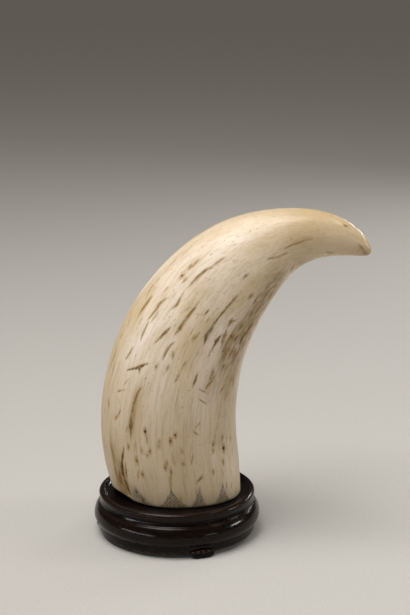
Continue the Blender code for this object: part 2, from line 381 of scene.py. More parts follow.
# %% Surface coordinates in millimetres
NEAR_PIXELS = 0.5
LENGTHWISE = SHARE * TOOTH_LENGTH / MM
DEPTH_SHARE = DEPTH_SHARE_ROOT + (DEPTH_SHARE_TIP - DEPTH_SHARE_ROOT) * SHARE
GIRTH = np.hypot(HALF * np.sin(ANGLE), DEPTH_SHARE * HALF * np.cos(ANGLE)) / MM
STRETCH = np.linalg.norm(np.gradient(FORM, axis=0), axis=-1) / MM
STRETCH = STRETCH / np.maximum(np.abs(np.gradient(LENGTHWISE, axis=0)), 1e-6)
STRETCH = np.clip(STRETCH, 0.3, 3.0)
ANGLES = np.broadcast_to(ANGLE, SHARE.shape)
GRID_ROW = np.arange(len(SHARE))[:, None]
COLUMN, ROW = photo_pixels(FORM)
TOWARDS_EYE = ((EYE - FORM) * NORMAL).sum(-1)
SEEN = (TOWARDS_EYE > 0.0) & (GRID_ROW < SKIN_ROWS)
print("seen points:", int(SEEN.sum()))


def on_surface(column, row):
    """Lengthwise place and angle under a pixel: a mean of the seen points, the nearest weighing most."""
    gap = np.where(SEEN, np.hypot(COLUMN - column, ROW - row), np.inf)
    weight = np.exp(-(((gap - gap.min()) / NEAR_PIXELS) ** 2))
    total = weight.sum()
    return (weight * LENGTHWISE).sum() / total, (weight * ANGLES).sum() / total


def turn_from(angles, angle):
    """Angles counted from one of them, the short way round."""
    return (angles - angle + np.pi) % (2 * np.pi) - np.pi

# %% [markdown]
# The strokes that the photograph shows are read from it, as columns and rows of its pixels, and laid on the
# surface under those pixels. A pixel there is about 0.44 mm. The tone runs from pale gold to nearly black,
# because old grease settles deepest in the deepest cracks.

# %% Strokes seen in the photograph
GOLD, TAN, BROWN, RUST, UMBER, SEPIA, DARK, BLACK = 0.18, 0.36, 0.55, 0.64, 0.66, 0.72, 0.75, 0.95
PIT_LENGTH = 0.3  # mm
PIT_DEPTH = 0.6  # share of radius times tone
SEEN_STROKES = (
    # half width at the start and the end in mm, tone, depth in mm, then columns and rows
    (0.40, 0.38, BROWN, 0.25, 189.7, 286.3, 197.1, 278.0, 206.3, 269.9, 211.0, 267.6),
    (0.35, 0.55, GOLD, 0.05, 211.0, 267.6, 223.0, 258.4),
    (0.30, 0.50, TAN, 0.20, 182.8, 294.6, 179.9, 299.2, 176.5, 304.9, 172.5, 308.4),
    (0.25, 0.60, BROWN, 0.30, 197.7, 303.8, 195.4, 307.8, 186.8, 318.7, 179.4, 329.6, 175.9, 333.6),
    (0.22, 0.40, BROWN, 0.30, 236.8, 296.3, 229.9, 304.4, 219.0, 317.6),
    (0.40, 0.70, RUST, 0.45, 219.0, 317.6, 210.4, 330.2, 206.3, 335.9, 204.8, 343.2),
    (0.35, 0.35, BROWN, 0.20, 221.3, 336.1, 216.1, 341.3, 213.8, 345.9, 209.2, 355.1),
    (0.55, 1.00, UMBER, 0.40, 219.8, 336.4, 217.0, 340.6, 214.4, 345.6),
    (0.30, 0.35, TAN, 0.15, 166.2, 298.6, 159.3, 304.4, 156.7, 309.2, 149.2, 318.1),
    (0.30, 0.30, GOLD, 0.10, 158.1, 311.8, 151.8, 321.0),
    (0.35, 0.60, TAN, 0.25, 147.8, 323.3, 144.9, 329.0, 142.0, 335.4, 140.9, 338.8),
    (0.50, 0.40, GOLD, 0.05, 167.6, 287.7, 164.5, 291.2),
    (0.30, 0.30, GOLD, 0.05, 152.4, 286.0, 146.5, 296.5),
    (0.60, 0.35, TAN, 0.15, 151.0, 297.0, 146.0, 304.5, 142.0, 310.0, 138.3, 316.0),
    (0.35, 0.30, TAN, 0.15, 131.7, 314.7, 130.0, 319.9, 128.0, 325.6),
    (0.75, 0.30, BROWN, 0.30, 169.6, 328.5, 166.2, 331.9, 161.0, 337.1, 156.4, 341.7),
    (0.55, 0.35, TAN, 0.20, 173.6, 343.0, 169.6, 346.5, 166.2, 351.6, 163.4, 358.5),
    (0.90, 0.80, TAN, 0.15, 173.4, 354.5, 172.9, 357.8),
    (0.25, 0.50, TAN, 0.20, 132.3, 348.2, 130.0, 352.8, 126.3, 358.5),
    (0.42, 0.70, SEPIA, 0.35, 128.3, 370.0, 138.1, 367.7, 144.9, 364.9, 147.2, 363.7),
    (0.40, 0.40, DARK, 0.25, 139.4, 368.6, 139.5, 370.2),
    (0.50, 0.20, DARK, 0.25, 185.1, 363.1, 182.8, 366.6, 181.9, 368.9),
    (0.20, 0.35, TAN, 0.10, 179.4, 373.5, 175.9, 380.9),
    (0.50, 0.25, UMBER, 0.25, 197.1, 375.2, 195.4, 380.4, 192.6, 387.2),
    (0.40, 0.50, BROWN, 0.20, 213.8, 367.1, 212.6, 372.3, 209.8, 380.0),
    (0.80, 0.60, DARK, 0.35, 210.8, 382.5, 207.2, 386.5),
    (0.30, 0.20, TAN, 0.10, 208.3, 385.0, 206.3, 389.5),
    (0.30, 0.30, BROWN, 0.15, 214.4, 376.3, 212.1, 380.9),
    (0.40, 0.25, BROWN, 0.20, 224.7, 385.5, 220.1, 392.4),
    (0.40, 0.30, TAN, 0.10, 233.9, 376.3, 232.7, 382.6),
    (0.20, 0.30, DARK, 0.15, 199.4, 389.5, 205.2, 392.4),
    (0.20, 0.35, DARK, 0.15, 200.0, 399.9, 205.2, 403.3),
    (0.25, 0.20, BROWN, 0.12, 118.5, 391.3, 124.3, 389.8),
    (0.40, 0.30, BROWN, 0.15, 108.8, 401.6, 109.0, 405.6),
    (0.50, 0.50, DARK, 0.25, 119.7, 411.4, 118.5, 414.2),
    (0.30, 0.40, TAN, 0.10, 118.5, 414.2, 116.2, 418.2),
    (0.25, 0.40, BROWN, 0.20, 140.3, 389.0, 137.5, 393.0, 134.6, 401.6, 132.9, 409.6, 131.4, 416.0),
    (0.95, 0.80, UMBER, 0.50, 131.4, 416.0, 130.8, 422.9, 130.9, 433.4),
    (0.40, 0.30, TAN, 0.15, 130.6, 433.0, 130.9, 438.0),
    (0.35, 0.30, BROWN, 0.15, 127.0, 427.5, 126.6, 430.5),
    (0.35, 0.75, DARK, 0.70, 123.5, 448.5, 122.9, 454.5, 121.9, 462.5),
    (0.80, 1.00, DARK, 0.80, 122.0, 460.0, 122.1, 467.0, 122.6, 473.0, 123.6, 479.0),
    (0.90, 0.45, DARK, 0.80, 123.3, 476.5, 124.7, 480.5, 127.0, 486.7, 129.9, 495.2),
    (1.10, 1.50, BROWN, 0.15, 119.6, 471.0, 120.2, 478.0, 122.2, 486.5),
    (0.50, 0.65, BROWN, 0.15, 125.4, 463.5, 126.6, 478.0),
    (0.30, 0.45, TAN, 0.20, 110.5, 443.5, 111.7, 448.9, 113.2, 456.2, 114.4, 462.3),
    (0.40, 0.50, TAN, 0.15, 114.4, 462.3, 115.6, 469.5, 117.4, 476.8, 119.2, 484.7),
    (0.20, 0.28, TAN, 0.15, 171.0, 467.0, 171.0, 478.0, 170.8, 490.2),
    (0.30, 0.35, TAN, 0.10, 146.0, 434.5, 146.6, 438.0, 147.0, 443.5),
    (0.35, 0.50, DARK, 0.20, 138.5, 471.6, 137.9, 478.6),
    (0.20, 0.20, TAN, 0.10, 192.6, 457.4, 191.7, 462.9),
    (0.30, 0.70, DARK, 0.35, 253.8, 320.5, 249.4, 327.3, 245.4, 333.1),
    (0.75, 0.35, DARK, 0.35, 246.4, 331.4, 241.9, 338.2, 239.5, 343.8),
    (0.35, 0.50, BROWN, 0.20, 244.2, 321.5, 240.5, 327.8),
    (0.35, 0.70, DARK, 0.20, 238.9, 334.4, 236.0, 338.0, 234.2, 340.6),
    (0.60, 0.50, BROWN, 0.10, 234.2, 320.8, 230.8, 322.2, 228.6, 325.5),
    (0.60, 0.90, TAN, 0.10, 226.5, 330.0, 224.0, 337.0, 221.9, 345.4),
    (0.60, 0.40, BROWN, 0.10, 230.6, 345.4, 226.8, 354.1),
    (0.45, 0.30, BROWN, 0.10, 235.6, 349.8, 231.9, 357.3),
    (0.45, 0.30, BROWN, 0.10, 243.4, 349.6, 241.4, 356.4),
    (0.40, 0.35, BROWN, 0.10, 258.6, 318.6, 255.3, 325.4),
    (0.40, 0.35, TAN, 0.10, 250.9, 332.0, 248.7, 339.2),
    (0.30, 0.30, GOLD, 0.05, 235.0, 366.0, 234.2, 373.0),
    (0.30, 0.50, DARK, 0.20, 256.8, 298.0, 255.0, 301.2, 253.2, 304.0),
    (0.60, 0.50, BROWN, 0.20, 207.8, 311.3, 205.2, 314.1),
    (0.30, 0.35, TAN, 0.10, 198.9, 333.6, 194.9, 338.8),
    (0.30, 0.30, GOLD, 0.05, 198.3, 260.2, 193.7, 265.3),
    (0.35, 0.30, GOLD, 0.10, 116.8, 349.4, 114.5, 356.2, 109.4, 370.6),
    (0.35, 0.35, TAN, 0.10, 127.7, 379.8, 124.9, 383.8),
    (0.30, 0.30, BROWN, 0.15, 226.3, 483.0, 226.6, 488.0),
    (0.35, 0.30, TAN, 0.10, 231.7, 484.0, 231.5, 487.0),
    (0.35, 0.30, TAN, 0.15, 359.5, 245.5, 363.0, 249.5, 366.5, 254.5),
    (0.50, 0.40, TAN, 0.10, 291.0, 271.0, 293.5, 265.5),
    (0.18, 0.16, TAN, 0.05, 285.8, 248.0, 296.0, 243.6, 311.5, 239.2),
    (0.16, 0.18, TAN, 0.05, 269.0, 258.6, 277.0, 257.2, 286.0, 253.6),
    (0.40, 0.30, TAN, 0.10, 328.0, 252.5, 332.0, 253.0),
    (0.55, 0.45, DARK, 0.25, 194.3, 432.3, 197.5, 434.6),
    (0.50, 0.40, TAN, 0.10, 199.5, 423.0, 197.0, 426.5),
    (0.55, 0.50, BLACK, 0.30, 200.6, 478.6, 198.9, 480.7),
)
SEEN_PITS = (
    # radius in mm, tone, then column and row
    (0.55, BROWN, 182.2, 275.7), (0.45, TAN, 189.7, 267.6), (0.35, TAN, 184.8, 280.3),
    (0.65, BLACK, 145.0, 432.0), (0.55, DARK, 175.0, 435.6), (0.68, DARK, 170.5, 441.7),
    (0.42, DARK, 128.6, 447.4), (0.78, BROWN, 136.8, 461.4), (0.50, BROWN, 147.4, 455.6),
    (0.45, BROWN, 149.8, 451.7), (0.50, GOLD, 142.3, 450.8), (0.40, TAN, 159.2, 441.7),
    (0.45, TAN, 158.9, 446.5), (0.40, BROWN, 167.1, 464.1), (0.52, BROWN, 165.4, 468.2),
    (0.45, BROWN, 142.6, 474.7), (0.40, BROWN, 171.0, 472.0), (0.45, TAN, 181.7, 451.7),
    (0.45, BROWN, 183.2, 464.4), (0.55, DARK, 213.2, 444.7), (0.45, BROWN, 213.2, 450.8),
    (0.85, BLACK, 223.5, 448.3), (0.42, TAN, 222.6, 437.7), (0.45, TAN, 230.2, 438.3),
    (0.40, TAN, 223.2, 462.3), (0.40, TAN, 213.5, 472.6), (0.50, TAN, 155.9, 366.6),
    (0.45, TAN, 167.9, 368.3), (0.45, BROWN, 250.5, 296.3), (0.40, TAN, 245.4, 276.2),
    (0.55, TAN, 230.4, 322.2), (0.60, BROWN, 136.5, 492.3), (0.60, BROWN, 142.9, 499.8),
    (0.40, TAN, 115.6, 418.0), (0.45, DARK, 345.6, 226.0), (0.45, BROWN, 240.8, 327.3),
    (0.60, DARK, 230.8, 336.4), (0.45, BROWN, 223.4, 366.5), (0.45, BROWN, 223.2, 351.2),
    (0.40, TAN, 193.7, 338.4),
)


def laid_on_tooth():
    """Each stroke as half widths, tone, depth and (lengthwise, angle) places; a pit is a short stroke."""
    strokes = []
    for start, end, tone, depth, *pixels in SEEN_STROKES:
        places = [on_surface(x, y) for x, y in zip(pixels[0::2], pixels[1::2])]
        strokes.append((start, end, tone, depth, places))
    for radius, tone, column, row in SEEN_PITS:
        place = on_surface(column, row)
        end = (place[0] + PIT_LENGTH, place[1])
        strokes.append((radius, radius, tone, PIT_DEPTH * radius * tone, [place, end]))
    return strokes


STROKES = laid_on_tooth()
print(len(STROKES), "strokes from the photograph")

# %% [markdown]
# The back of the tooth isn't in the photograph. It is aged in the same way and more plainly:
# strokes of the same kinds, drawn with a fixed seed, run along the grain of the tooth, keep to
# the heights where the front has most of them, and leave the polished upper quarter bare.

# %% Strokes on the hidden side
HIDDEN_FROM, HIDDEN_TO = 12.0, 166.0  # degrees round the tooth
HIDDEN_STREAKS, HIDDEN_PITS = 58, 30
STREAK_PLACES, STREAK_LENGTHS, STREAK_HALF_WIDTHS = (12.0, 118.0), (3.0, 13.0), (0.22, 0.55)  # mm
PIT_PLACES, PIT_RADII = (8.0, 46.0), (0.38, 0.7)  # mm
STREAK_LEAN, STREAK_BEND = 0.02, 0.008  # radians
STREAK_DEPTH, HIDDEN_PIT_DEPTH = 0.35, 0.5  # mm for the darkest tone, and share of the radius


def hidden_strokes():
    """Streaks of three places each, drawn from the ranges above, then pits."""
    rng = np.random.default_rng(4)
    strokes = []
    for _ in range(HIDDEN_STREAKS):
        angle = np.radians(rng.uniform(HIDDEN_FROM, HIDDEN_TO))
        place = rng.uniform(*STREAK_PLACES)
        length = rng.uniform(*STREAK_LENGTHS)
        lean = rng.normal(0.0, STREAK_LEAN)
        tone = rng.choice([GOLD, GOLD, TAN, TAN, BROWN, DARK])
        start, end = rng.uniform(*STREAK_HALF_WIDTHS, 2)
        middle = (place + 0.5 * length, angle + 0.5 * lean + rng.normal(0.0, STREAK_BEND))
        places = [(place + length, angle + lean), middle, (place, angle)]
        strokes.append((start, end, tone, STREAK_DEPTH * tone, places))
    for _ in range(HIDDEN_PITS):
        angle = np.radians(rng.uniform(HIDDEN_FROM, HIDDEN_TO))
        place = rng.uniform(*PIT_PLACES)
        radius = rng.uniform(*PIT_RADII)
        tone = rng.choice([TAN, BROWN, BROWN, DARK])
        places = [(place, angle), (place + PIT_LENGTH, angle)]
        strokes.append((radius, radius, tone, HIDDEN_PIT_DEPTH * radius, places))
    return strokes


STROKES += hidden_strokes()
print(len(STROKES), "strokes in all")

# %% [markdown]
# Each stroke now writes to the surface points round it: how far across its line a point lies,
# how far beyond its ends, and the half width there, which tapers to both ends as a crack does.
# A point can hold one stroke's distances only, so strokes that come close to each other go into
# different layers. The groove is carved at least as wide as the grid, or it would fall between
# its points.

# %% Distances to the strokes, in layers
STROKE_REACH = 4.0  # mm
ROWS_BEYOND = 8.0  # mm of rows that a stroke looks at past its ends
MEAN_RADIUS = 25.0  # mm a radian, near enough to share out a stroke's length
STROKE_LAYERS = 3
ROOM_BETWEEN = 0.9  # mm
SHORTEST_TAPERED = 1.0  # mm; a pit keeps its width
TAPER = 2.6  # mm
TAPERED_TO = 0.20
SEEPS_ALONG = 0.45  # the stain of a stroke creeps further along the grain than across it
STAIN_FADES = (0.25, 1.35)  # mm from the stroke's edge
NARROWEST_GROOVE = 0.6
GROOVE_WALL = (0.15, 1.25)  # shares of the half width between which the groove runs out
WORN_SHALLOW = 0.7  # handling wore the grooves down, and stain shows them more than shadow does
ACROSS_RANGE, BEYOND_RANGE = (-3.0, 3.0), (-2.0, 3.5)  # mm, further away doesn't matter


def one_stroke(half_start, half_end, tone, depth, places):
    """The rows it reaches; there the gaps to its edge and its stain, (across, beyond, half), the groove."""
    places = np.array(places)
    low, high = places[:, 0].min() - ROWS_BEYOND, places[:, 0].max() + ROWS_BEYOND
    rows = (GRID_ROW[:, 0] < SKIN_ROWS) & (LENGTHWISE[:, 0] > low) & (LENGTHWISE[:, 0] < high)
    lengths = np.hypot(*(np.diff(places, axis=0) * [1.0, MEAN_RADIUS]).T)
    done = np.concatenate([[0.0], np.cumsum(lengths)]) / lengths.sum()
    gap = np.full((int(rows.sum()), SIDES), STROKE_REACH)
    seep = gap.copy()
    line = np.zeros(gap.shape + (3,))
    groove = np.zeros(gap.shape)
    for k in range(len(places) - 1):
        turn = turn_from(ANGLES[rows], places[k, 1])
        u, v = turn * GIRTH[rows], (LENGTHWISE[rows] - places[k, 0]) * STRETCH[rows]
        su = (places[k + 1, 1] - places[k, 1]) * GIRTH[rows]
        sv = (places[k + 1, 0] - places[k, 0]) * STRETCH[rows]
        length = np.maximum(np.hypot(su, sv), 1e-6)
        t = (u * su + v * sv) / length
        across = (u * sv - v * su) / length
        before = -t if k == 0 else np.full_like(t, -STROKE_REACH)
        after = t - length if k == len(places) - 2 else np.full_like(t, -STROKE_REACH)
        share = done[k] + (done[k + 1] - done[k]) * np.clip(t / length, 0.0, 1.0)
        half = half_start + (half_end - half_start) * share
        if lengths.sum() > SHORTEST_TAPERED:
            to_end = np.minimum(share, 1.0 - share) * lengths.sum() / TAPER
            half = half * (TAPERED_TO + (1.0 - TAPERED_TO) * np.clip(to_end, 0.0, 1.0))
        outside = np.maximum(np.maximum(-t, t - length), 0.0)
        away = np.hypot(across, outside)
        closer = away - half < gap
        gap = np.where(closer, away - half, gap)
        seep = np.minimum(seep, np.hypot(across, SEEPS_ALONG * outside) - half)
        beyond = np.clip(np.maximum(before, after), *BEYOND_RANGE)
        here = np.stack([np.clip(across, *ACROSS_RANGE), beyond, half], axis=-1)
        line = np.where(closer[..., None], here, line)
        wide = np.maximum(half, NARROWEST_GROOVE)
        groove = np.maximum(groove, WORN_SHALLOW * depth * (1.0 - smoothstep(*GROOVE_WALL, away / wide)))
    return rows, gap, seep, line, groove


def stroke_fields(strokes):
    """Lays each stroke into the first layer where nothing else is near it."""
    gaps = np.full((STROKE_LAYERS,) + SHARE.shape, STROKE_REACH)
    lines = np.zeros(gaps.shape + (3,))
    looks = np.zeros(gaps.shape + (3,))
    carved = np.zeros(SHARE.shape)
    used = [0] * STROKE_LAYERS
    for stroke in strokes:
        rows, gap, seep, line, groove = one_stroke(*stroke)
        close = gap < ROOM_BETWEEN
        layer = 0
        while layer < STROKE_LAYERS - 1 and (close & (gaps[layer, rows] < ROOM_BETWEEN)).any():
            layer += 1
        closer = gap < gaps[layer, rows]
        near = 1.0 - smoothstep(*STAIN_FADES, seep)
        look = np.stack([near, 0 * near + stroke[2], 0 * near], -1)
        gaps[layer, rows] = np.where(closer, gap, gaps[layer, rows])
        for field, value in ((lines, line), (looks, look)):
            field[layer, rows] = np.where(closer[..., None], value, field[layer, rows])
        carved[rows] = np.maximum(carved[rows], groove)
        used[layer] += 1
    print("strokes in each layer:", used)
    return lines, looks, carved


STROKE_LINES, STROKE_LOOKS, CARVED = stroke_fields(STROKES)
print("deepest groove", round(float(CARVED.max()), 2), "mm")

# %% [markdown]
# Stains are broader and softer than strokes: grease that crept out of a crack, or the brown that ivory takes
# where hands held it. Each is a soft round patch with its own size. The two on the arch's underside are made
# stronger than their stain, as painted shade on that side. The few pale clouds between them are painted light
# and sheen, made in the same way.

# %% Stained patches
# The two patches at columns 263 and 270, on the arch's shaded underside, are a real stain made darker as
# painted shade.
PATCHES = (
    # radius around and along in mm, amount, then column and row
    (6.5, 15.0, 0.90, 233.0, 347.0), (5.5, 11.0, 0.90, 247.0, 327.0), (2.6, 11.0, 1.00, 121.0, 474.0),
    (3.0, 6.0, 0.80, 120.0, 484.0), (2.4, 7.0, 0.90, 124.3, 483.0), (1.3, 8.0, 0.85, 112.5, 452.0),
    (2.0, 8.0, 0.50, 136.5, 400.0), (1.8, 8.0, 0.75, 132.0, 422.0), (1.3, 7.0, 0.80, 116.0, 468.0),
    (3.5, 5.0, 0.50, 279.0, 276.0), (5.0, 3.0, 0.45, 301.0, 263.0), (2.2, 4.5, 0.45, 365.0, 252.0),
    (3.2, 4.0, 0.26, 216.5, 438.0), (3.0, 6.0, 0.22, 178.0, 457.0), (2.5, 5.0, 0.20, 190.5, 430.0),
    (3.5, 5.0, 0.30, 149.0, 477.0), (5.5, 10.0, 0.75, 263.0, 304.0), (4.5, 9.0, 0.35, 211.0, 384.0),
    (2.4, 7.0, 0.40, 226.5, 348.0), (3.0, 8.0, 0.30, 207.0, 338.0), (3.0, 10.0, 0.30, 238.0, 362.0),
    (1.8, 5.0, 0.90, 119.8, 480.0), (4.0, 9.0, 0.25, 300.0, 240.0), (6.0, 8.0, 0.80, 270.0, 289.0),
    (6.5, 22.0, 0.38, 227.0, 390.0),
)
PAINTED_LIGHT_CLOUDS = (
    # the same, for patches of painted light and sheen
    (5.0, 11.0, 0.45, 231.0, 470.0), (7.0, 10.0, 0.60, 219.0, 266.0), (1.6, 9.0, 0.35, 214.5, 458.0),
)
HIDDEN_PATCHES = 12
PATCH_SIZES, PATCH_AMOUNTS, PATCH_PLACES = (2.0, 5.0), (0.25, 0.7), (8.0, 150.0)


def hidden_patches():
    """Patches twice as long as wide, with size, amount and place from the ranges above."""
    rng = np.random.default_rng(9)
    places = []
    for _ in range(HIDDEN_PATCHES):
        angle = np.radians(rng.uniform(HIDDEN_FROM, HIDDEN_TO))
        size = rng.uniform(*PATCH_SIZES)
        places.append((size, 2.0 * size, rng.uniform(*PATCH_AMOUNTS), rng.uniform(*PATCH_PLACES), angle))
    return places


def soft_patches(seen, hidden=()):
    """Sum of soft round patches, exp of minus the squared distance over the squared radius."""
    places = [(w, h, amount, *on_surface(x, y)) for w, h, amount, x, y in seen] + list(hidden)
    total = np.zeros(SHARE.shape)
    for wide, high, amount, along, angle in places:
        turn = turn_from(ANGLES, angle)
        away = (turn * GIRTH / wide) ** 2 + ((LENGTHWISE - along) * STRETCH / high) ** 2
        total += amount * np.exp(-away)
    return np.clip(total, 0.0, 1.0)


PATCH = soft_patches(PATCHES, hidden_patches())
PAINTED_LIGHT = soft_patches(PAINTED_LIGHT_CLOUDS)
print("stained points:", int((PATCH > 0.1).sum()), "pale points:", int((PAINTED_LIGHT > 0.1).sum()))

# %% [markdown]
# ## The engraved border
#
# A row of pointed teeth filled with crossed scratches runs round the root, a pattern common on
# scrimshaw. For each point of the surface one number says how deep it lies inside the nearest
# triangle, in millimetres: the width left at that height minus the distance from its middle line.
# The material draws hatching where the number is above zero. Three triangles are read from the
# photograph, with sides that flare at the foot. The first one beside the break is rubbed to a
# smudge, and more triangles go round the back at about the same pitch.

# %% Border of hatched triangles
SEEN_TRIANGLES = (
    # column and row of the apex, half width at the base and its shift to the left, in mm
    (170.9, 489.5, 6.4, 0.0),
    (199.5, 487.0, 3.2, 1.4),
    (222.6, 482.5, 4.2, 0.8),
)
HIDDEN_TRIANGLES = 6
HIDDEN_BORDER_FROM, HIDDEN_BORDER_TO = 22.0, 158.0  # degrees
TRIANGLE_HEIGHTS, TRIANGLE_HALF_WIDTHS = (8.0, 10.0), (3.6, 4.8)  # mm
HOLLOW_SIDES = 1.3  # a power above 1 draws the sides in
FLARE, FLARE_HEIGHT = 1.8, 0.9  # mm
FAR_OUTSIDE = -6.0  # mm
SMUDGES = (
    # radius around and along in mm, amount, then column and row
    (1.5, 2.6, 1.00, 136.0, 492.0), (1.8, 2.0, 1.00, 139.5, 496.5), (1.7, 1.5, 1.00, 143.0, 500.0),
    (1.4, 2.6, 0.60, 133.5, 496.0), (2.8, 1.0, 0.80, 147.0, 503.0),
)


def border_triangles():
    """(angle of the apex, height, half width at the base, shift of the base) of each, seen ones first."""
    triangles = []
    for column, row, half, shift in SEEN_TRIANGLES:
        height, angle = on_surface(column, row)
        triangles.append((angle, height, half, shift))
    rng = np.random.default_rng(2)
    for degrees in np.linspace(HIDDEN_BORDER_FROM, HIDDEN_BORDER_TO, HIDDEN_TRIANGLES):
        height, half = rng.uniform(*TRIANGLE_HEIGHTS), rng.uniform(*TRIANGLE_HALF_WIDTHS)
        triangles.append((np.radians(degrees), height, half, 0.0))
    return triangles


def border_field(triangles):
    """The greatest of the half width left at a point's height minus its distance from the middle line."""
    field = np.full(SHARE.shape, FAR_OUTSIDE)
    for angle, height, half, shift in triangles:
        left = 1.0 - LENGTHWISE / height
        middle = angle + shift * np.clip(left, 0.0, 1.0) / GIRTH
        tapered = np.where(left > 0.0, np.abs(left) ** HOLLOW_SIDES, left) * half
        wide = tapered + FLARE * np.exp(-LENGTHWISE / FLARE_HEIGHT)
        field = np.maximum(field, wide - np.abs(turn_from(ANGLES, middle)) * GIRTH)
    return np.where(GRID_ROW < SKIN_ROWS, field, FAR_OUTSIDE)


TRIANGLES = border_triangles()
BORDER = border_field(TRIANGLES)
SMUDGE = soft_patches(SMUDGES)
for angle, height, *_ in TRIANGLES:
    print("triangle at", round(float(np.degrees(angle))), "degrees, height", round(float(height), 1), "mm")

# %% [markdown]
# ## Carving the tooth
#
# The hand-scraped skin is not a perfect formula. Long shallow facets from the scraper, faint
# growth ridges near the root, the carved strokes and a rough broken edge are added along the
# surface's own outward directions. Everything stays within a fraction of a millimetre.

# %% Relief of the tooth
SCRAPED_FACETS = 0.16  # mm
FACETS_ROUND, FACET_LENGTH = 16, 26.0
GROWTH_RIDGES = 0.05
RIDGES_ROUND, RIDGE_LENGTH = 64, 30.0
RIDGES_FADE = (20.0, 75.0)  # mm from the root
SMOOTH_TIP = 6.0  # mm
BROKEN_ROUGHNESS = 0.38
BROKEN_FROM = (0.2, 1.6)  # mm of rise between which the roughness sets in
COARSE_ROUND, FINE_ROUND = 96, 256
EDGE_SHADE_AND_GRIME = 0.55  # share of the hollow's painted shade and grime that lies along the root's edge
EDGE_SHADE_AND_GRIME_FADES = (0.2, 2.2)  # mm above the edge


def tooth_relief():
    """Height above the smooth form in mm: facets plus ridges minus strokes, rougher where it broke."""
    turns = (ANGLES - FIRST_ANGLE) / (2 * np.pi)
    facets = lattice_noise(turns * FACETS_ROUND, LENGTHWISE / FACET_LENGTH, seed=11)
    ridges = lattice_noise(turns * RIDGES_ROUND, LENGTHWISE / RIDGE_LENGTH, seed=12)
    low_part = 1.0 - smoothstep(*RIDGES_FADE, LENGTHWISE)
    skin = smoothstep(SKIN_ROWS, SKIN_ROWS - 6, GRID_ROW)
    tip = smoothstep(TOOTH_LENGTH / MM, TOOTH_LENGTH / MM - SMOOTH_TIP, LENGTHWISE)
    relief = skin * tip * (SCRAPED_FACETS * facets + GROWTH_RIDGES * ridges * low_part) - CARVED
    broken = smoothstep(*BROKEN_FROM, root_edge_rise(ANGLES) / MM)
    underside = smoothstep(SKIN_ROWS - 4, SKIN_ROWS, GRID_ROW)
    underside = underside * smoothstep(SKIN_ROWS + 10, SKIN_ROWS + 5, GRID_ROW)
    coarse = lattice_noise(turns * COARSE_ROUND, GRID_ROW / 2.0, seed=13)
    fine = lattice_noise(turns * FINE_ROUND, GRID_ROW / 1.1, seed=14)
    return relief + broken * underside * BROKEN_ROUGHNESS * (0.7 * coarse + 0.5 * fine)


def growth_places():
    """The tooth unbent, in mm: each point's two distances from the centre line and its place along it."""
    reach = HALF / MM
    return np.stack([reach * np.cos(ANGLES), DEPTH_SHARE * reach * np.sin(ANGLES), LENGTHWISE], axis=-1)


def shade_and_grime():
    """Painted shade with some grime: 1 inside the hollow and under the broken edge, fading out just above the
    root's edge.
    """
    inside = smoothstep(SKIN_ROWS - 2, SKIN_ROWS + 4, GRID_ROW + 0 * ANGLES)
    above = LENGTHWISE - root_edge_rise(ANGLES) / MM
    return np.maximum(inside, EDGE_SHADE_AND_GRIME * (1.0 - smoothstep(*EDGE_SHADE_AND_GRIME_FADES, above)))


# %% The tooth as a piece
RELIEF = tooth_relief()
ZONES = np.stack([PATCH, shade_and_grime(), BORDER], axis=-1)
VALUES = {"growth": growth_places(), "zones": ZONES, "smudge": SMUDGE, "painted_light": PAINTED_LIGHT}
for layer in range(STROKE_LAYERS):
    VALUES[f"stroke_{layer}"] = STROKE_LINES[layer]
    VALUES[f"stroke_look_{layer}"] = STROKE_LOOKS[layer]
TIP, HOLLOW_TOP = tooth_point(np.array([1.0, HOLLOW_DEPTH / TOOTH_LENGTH]), np.zeros(2), np.zeros(2))
tooth = stack_of_rings("scrimshaw_tooth", FORM + NORMAL * (RELIEF * MM)[..., None], TIP, HOLLOW_TOP, VALUES)
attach(tooth, "root")
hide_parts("tooth")

# %% [markdown]
# ## Materials
#
# Four small helpers serve every finish. One turns the hex colours that a colour picker shows
# into the linear light that the renderer counts in. One fills a node's inputs, one adds a node,
# sets it and links it, and one starts an empty material. With them a finish reads from top to
# bottom like a recipe.


# %% Helpers for materials
def linear(hex_colour):
    """sRGB hex to linear light: the curve's power part, and its straight part near black."""
    parts = [int(hex_colour[k : k + 2], 16) / 255 for k in (1, 3, 5)]
    return [p / 12.92 if p <= 0.04045 else ((p + 0.055) / 1.055) ** 2.4 for p in parts] + [1.0]


def fill(tree, node, inputs):
    """Links or sets a node's inputs; a whole node stands for its first result that is switched on."""
    for key, value in inputs.items():
        if isinstance(value, bpy.types.Node):
            value = next(socket for socket in value.outputs if socket.enabled)
        if isinstance(value, bpy.types.NodeSocket):
            tree.links.new(value, node.inputs[key])
        else:
            node.inputs[key].default_value = value


def add(tree, kind, inputs=None, stops=(), **settings):
    """Adds a node, sets it and fills its inputs; stops are a ramp's places and hex colours."""
    node = tree.nodes.new(kind)
    for key, value in settings.items():
        setattr(node, key, value)
    fill(tree, node, inputs or {})
    for k, (place, colour) in enumerate(stops):
        stop = node.color_ramp.elements[k] if k < 2 else node.color_ramp.elements.new(place)
        stop.position = place
        stop.color = linear(colour)
    return node


def new_material(name):
    material = bpy.data.materials.new(name)
    material.use_nodes = True
    tree = material.node_tree
    return material, tree, tree.nodes["Principled BSDF"]


MATH, MIX, NOISE = "ShaderNodeMath", "ShaderNodeMix", "ShaderNodeTexNoise"
MAPPING, RAMP, BUMP = "ShaderNodeMapping", "ShaderNodeValToRGB", "ShaderNodeBump"
ATTRIBUTE, SEPARATE = "ShaderNodeAttribute", "ShaderNodeSeparateXYZ"
RANGE = "ShaderNodeMapRange"  # inputs: 0 the value, 1 and 2 the range it comes from, 3 and 4 where it goes
SOFT = "SMOOTHSTEP"
FACTOR, FIRST, SECOND = 0, 6, 7  # inputs of a colour Mix node
SCALE = 3  # input of a Mapping node
print("white in linear light:", linear("#FFFFFF"))
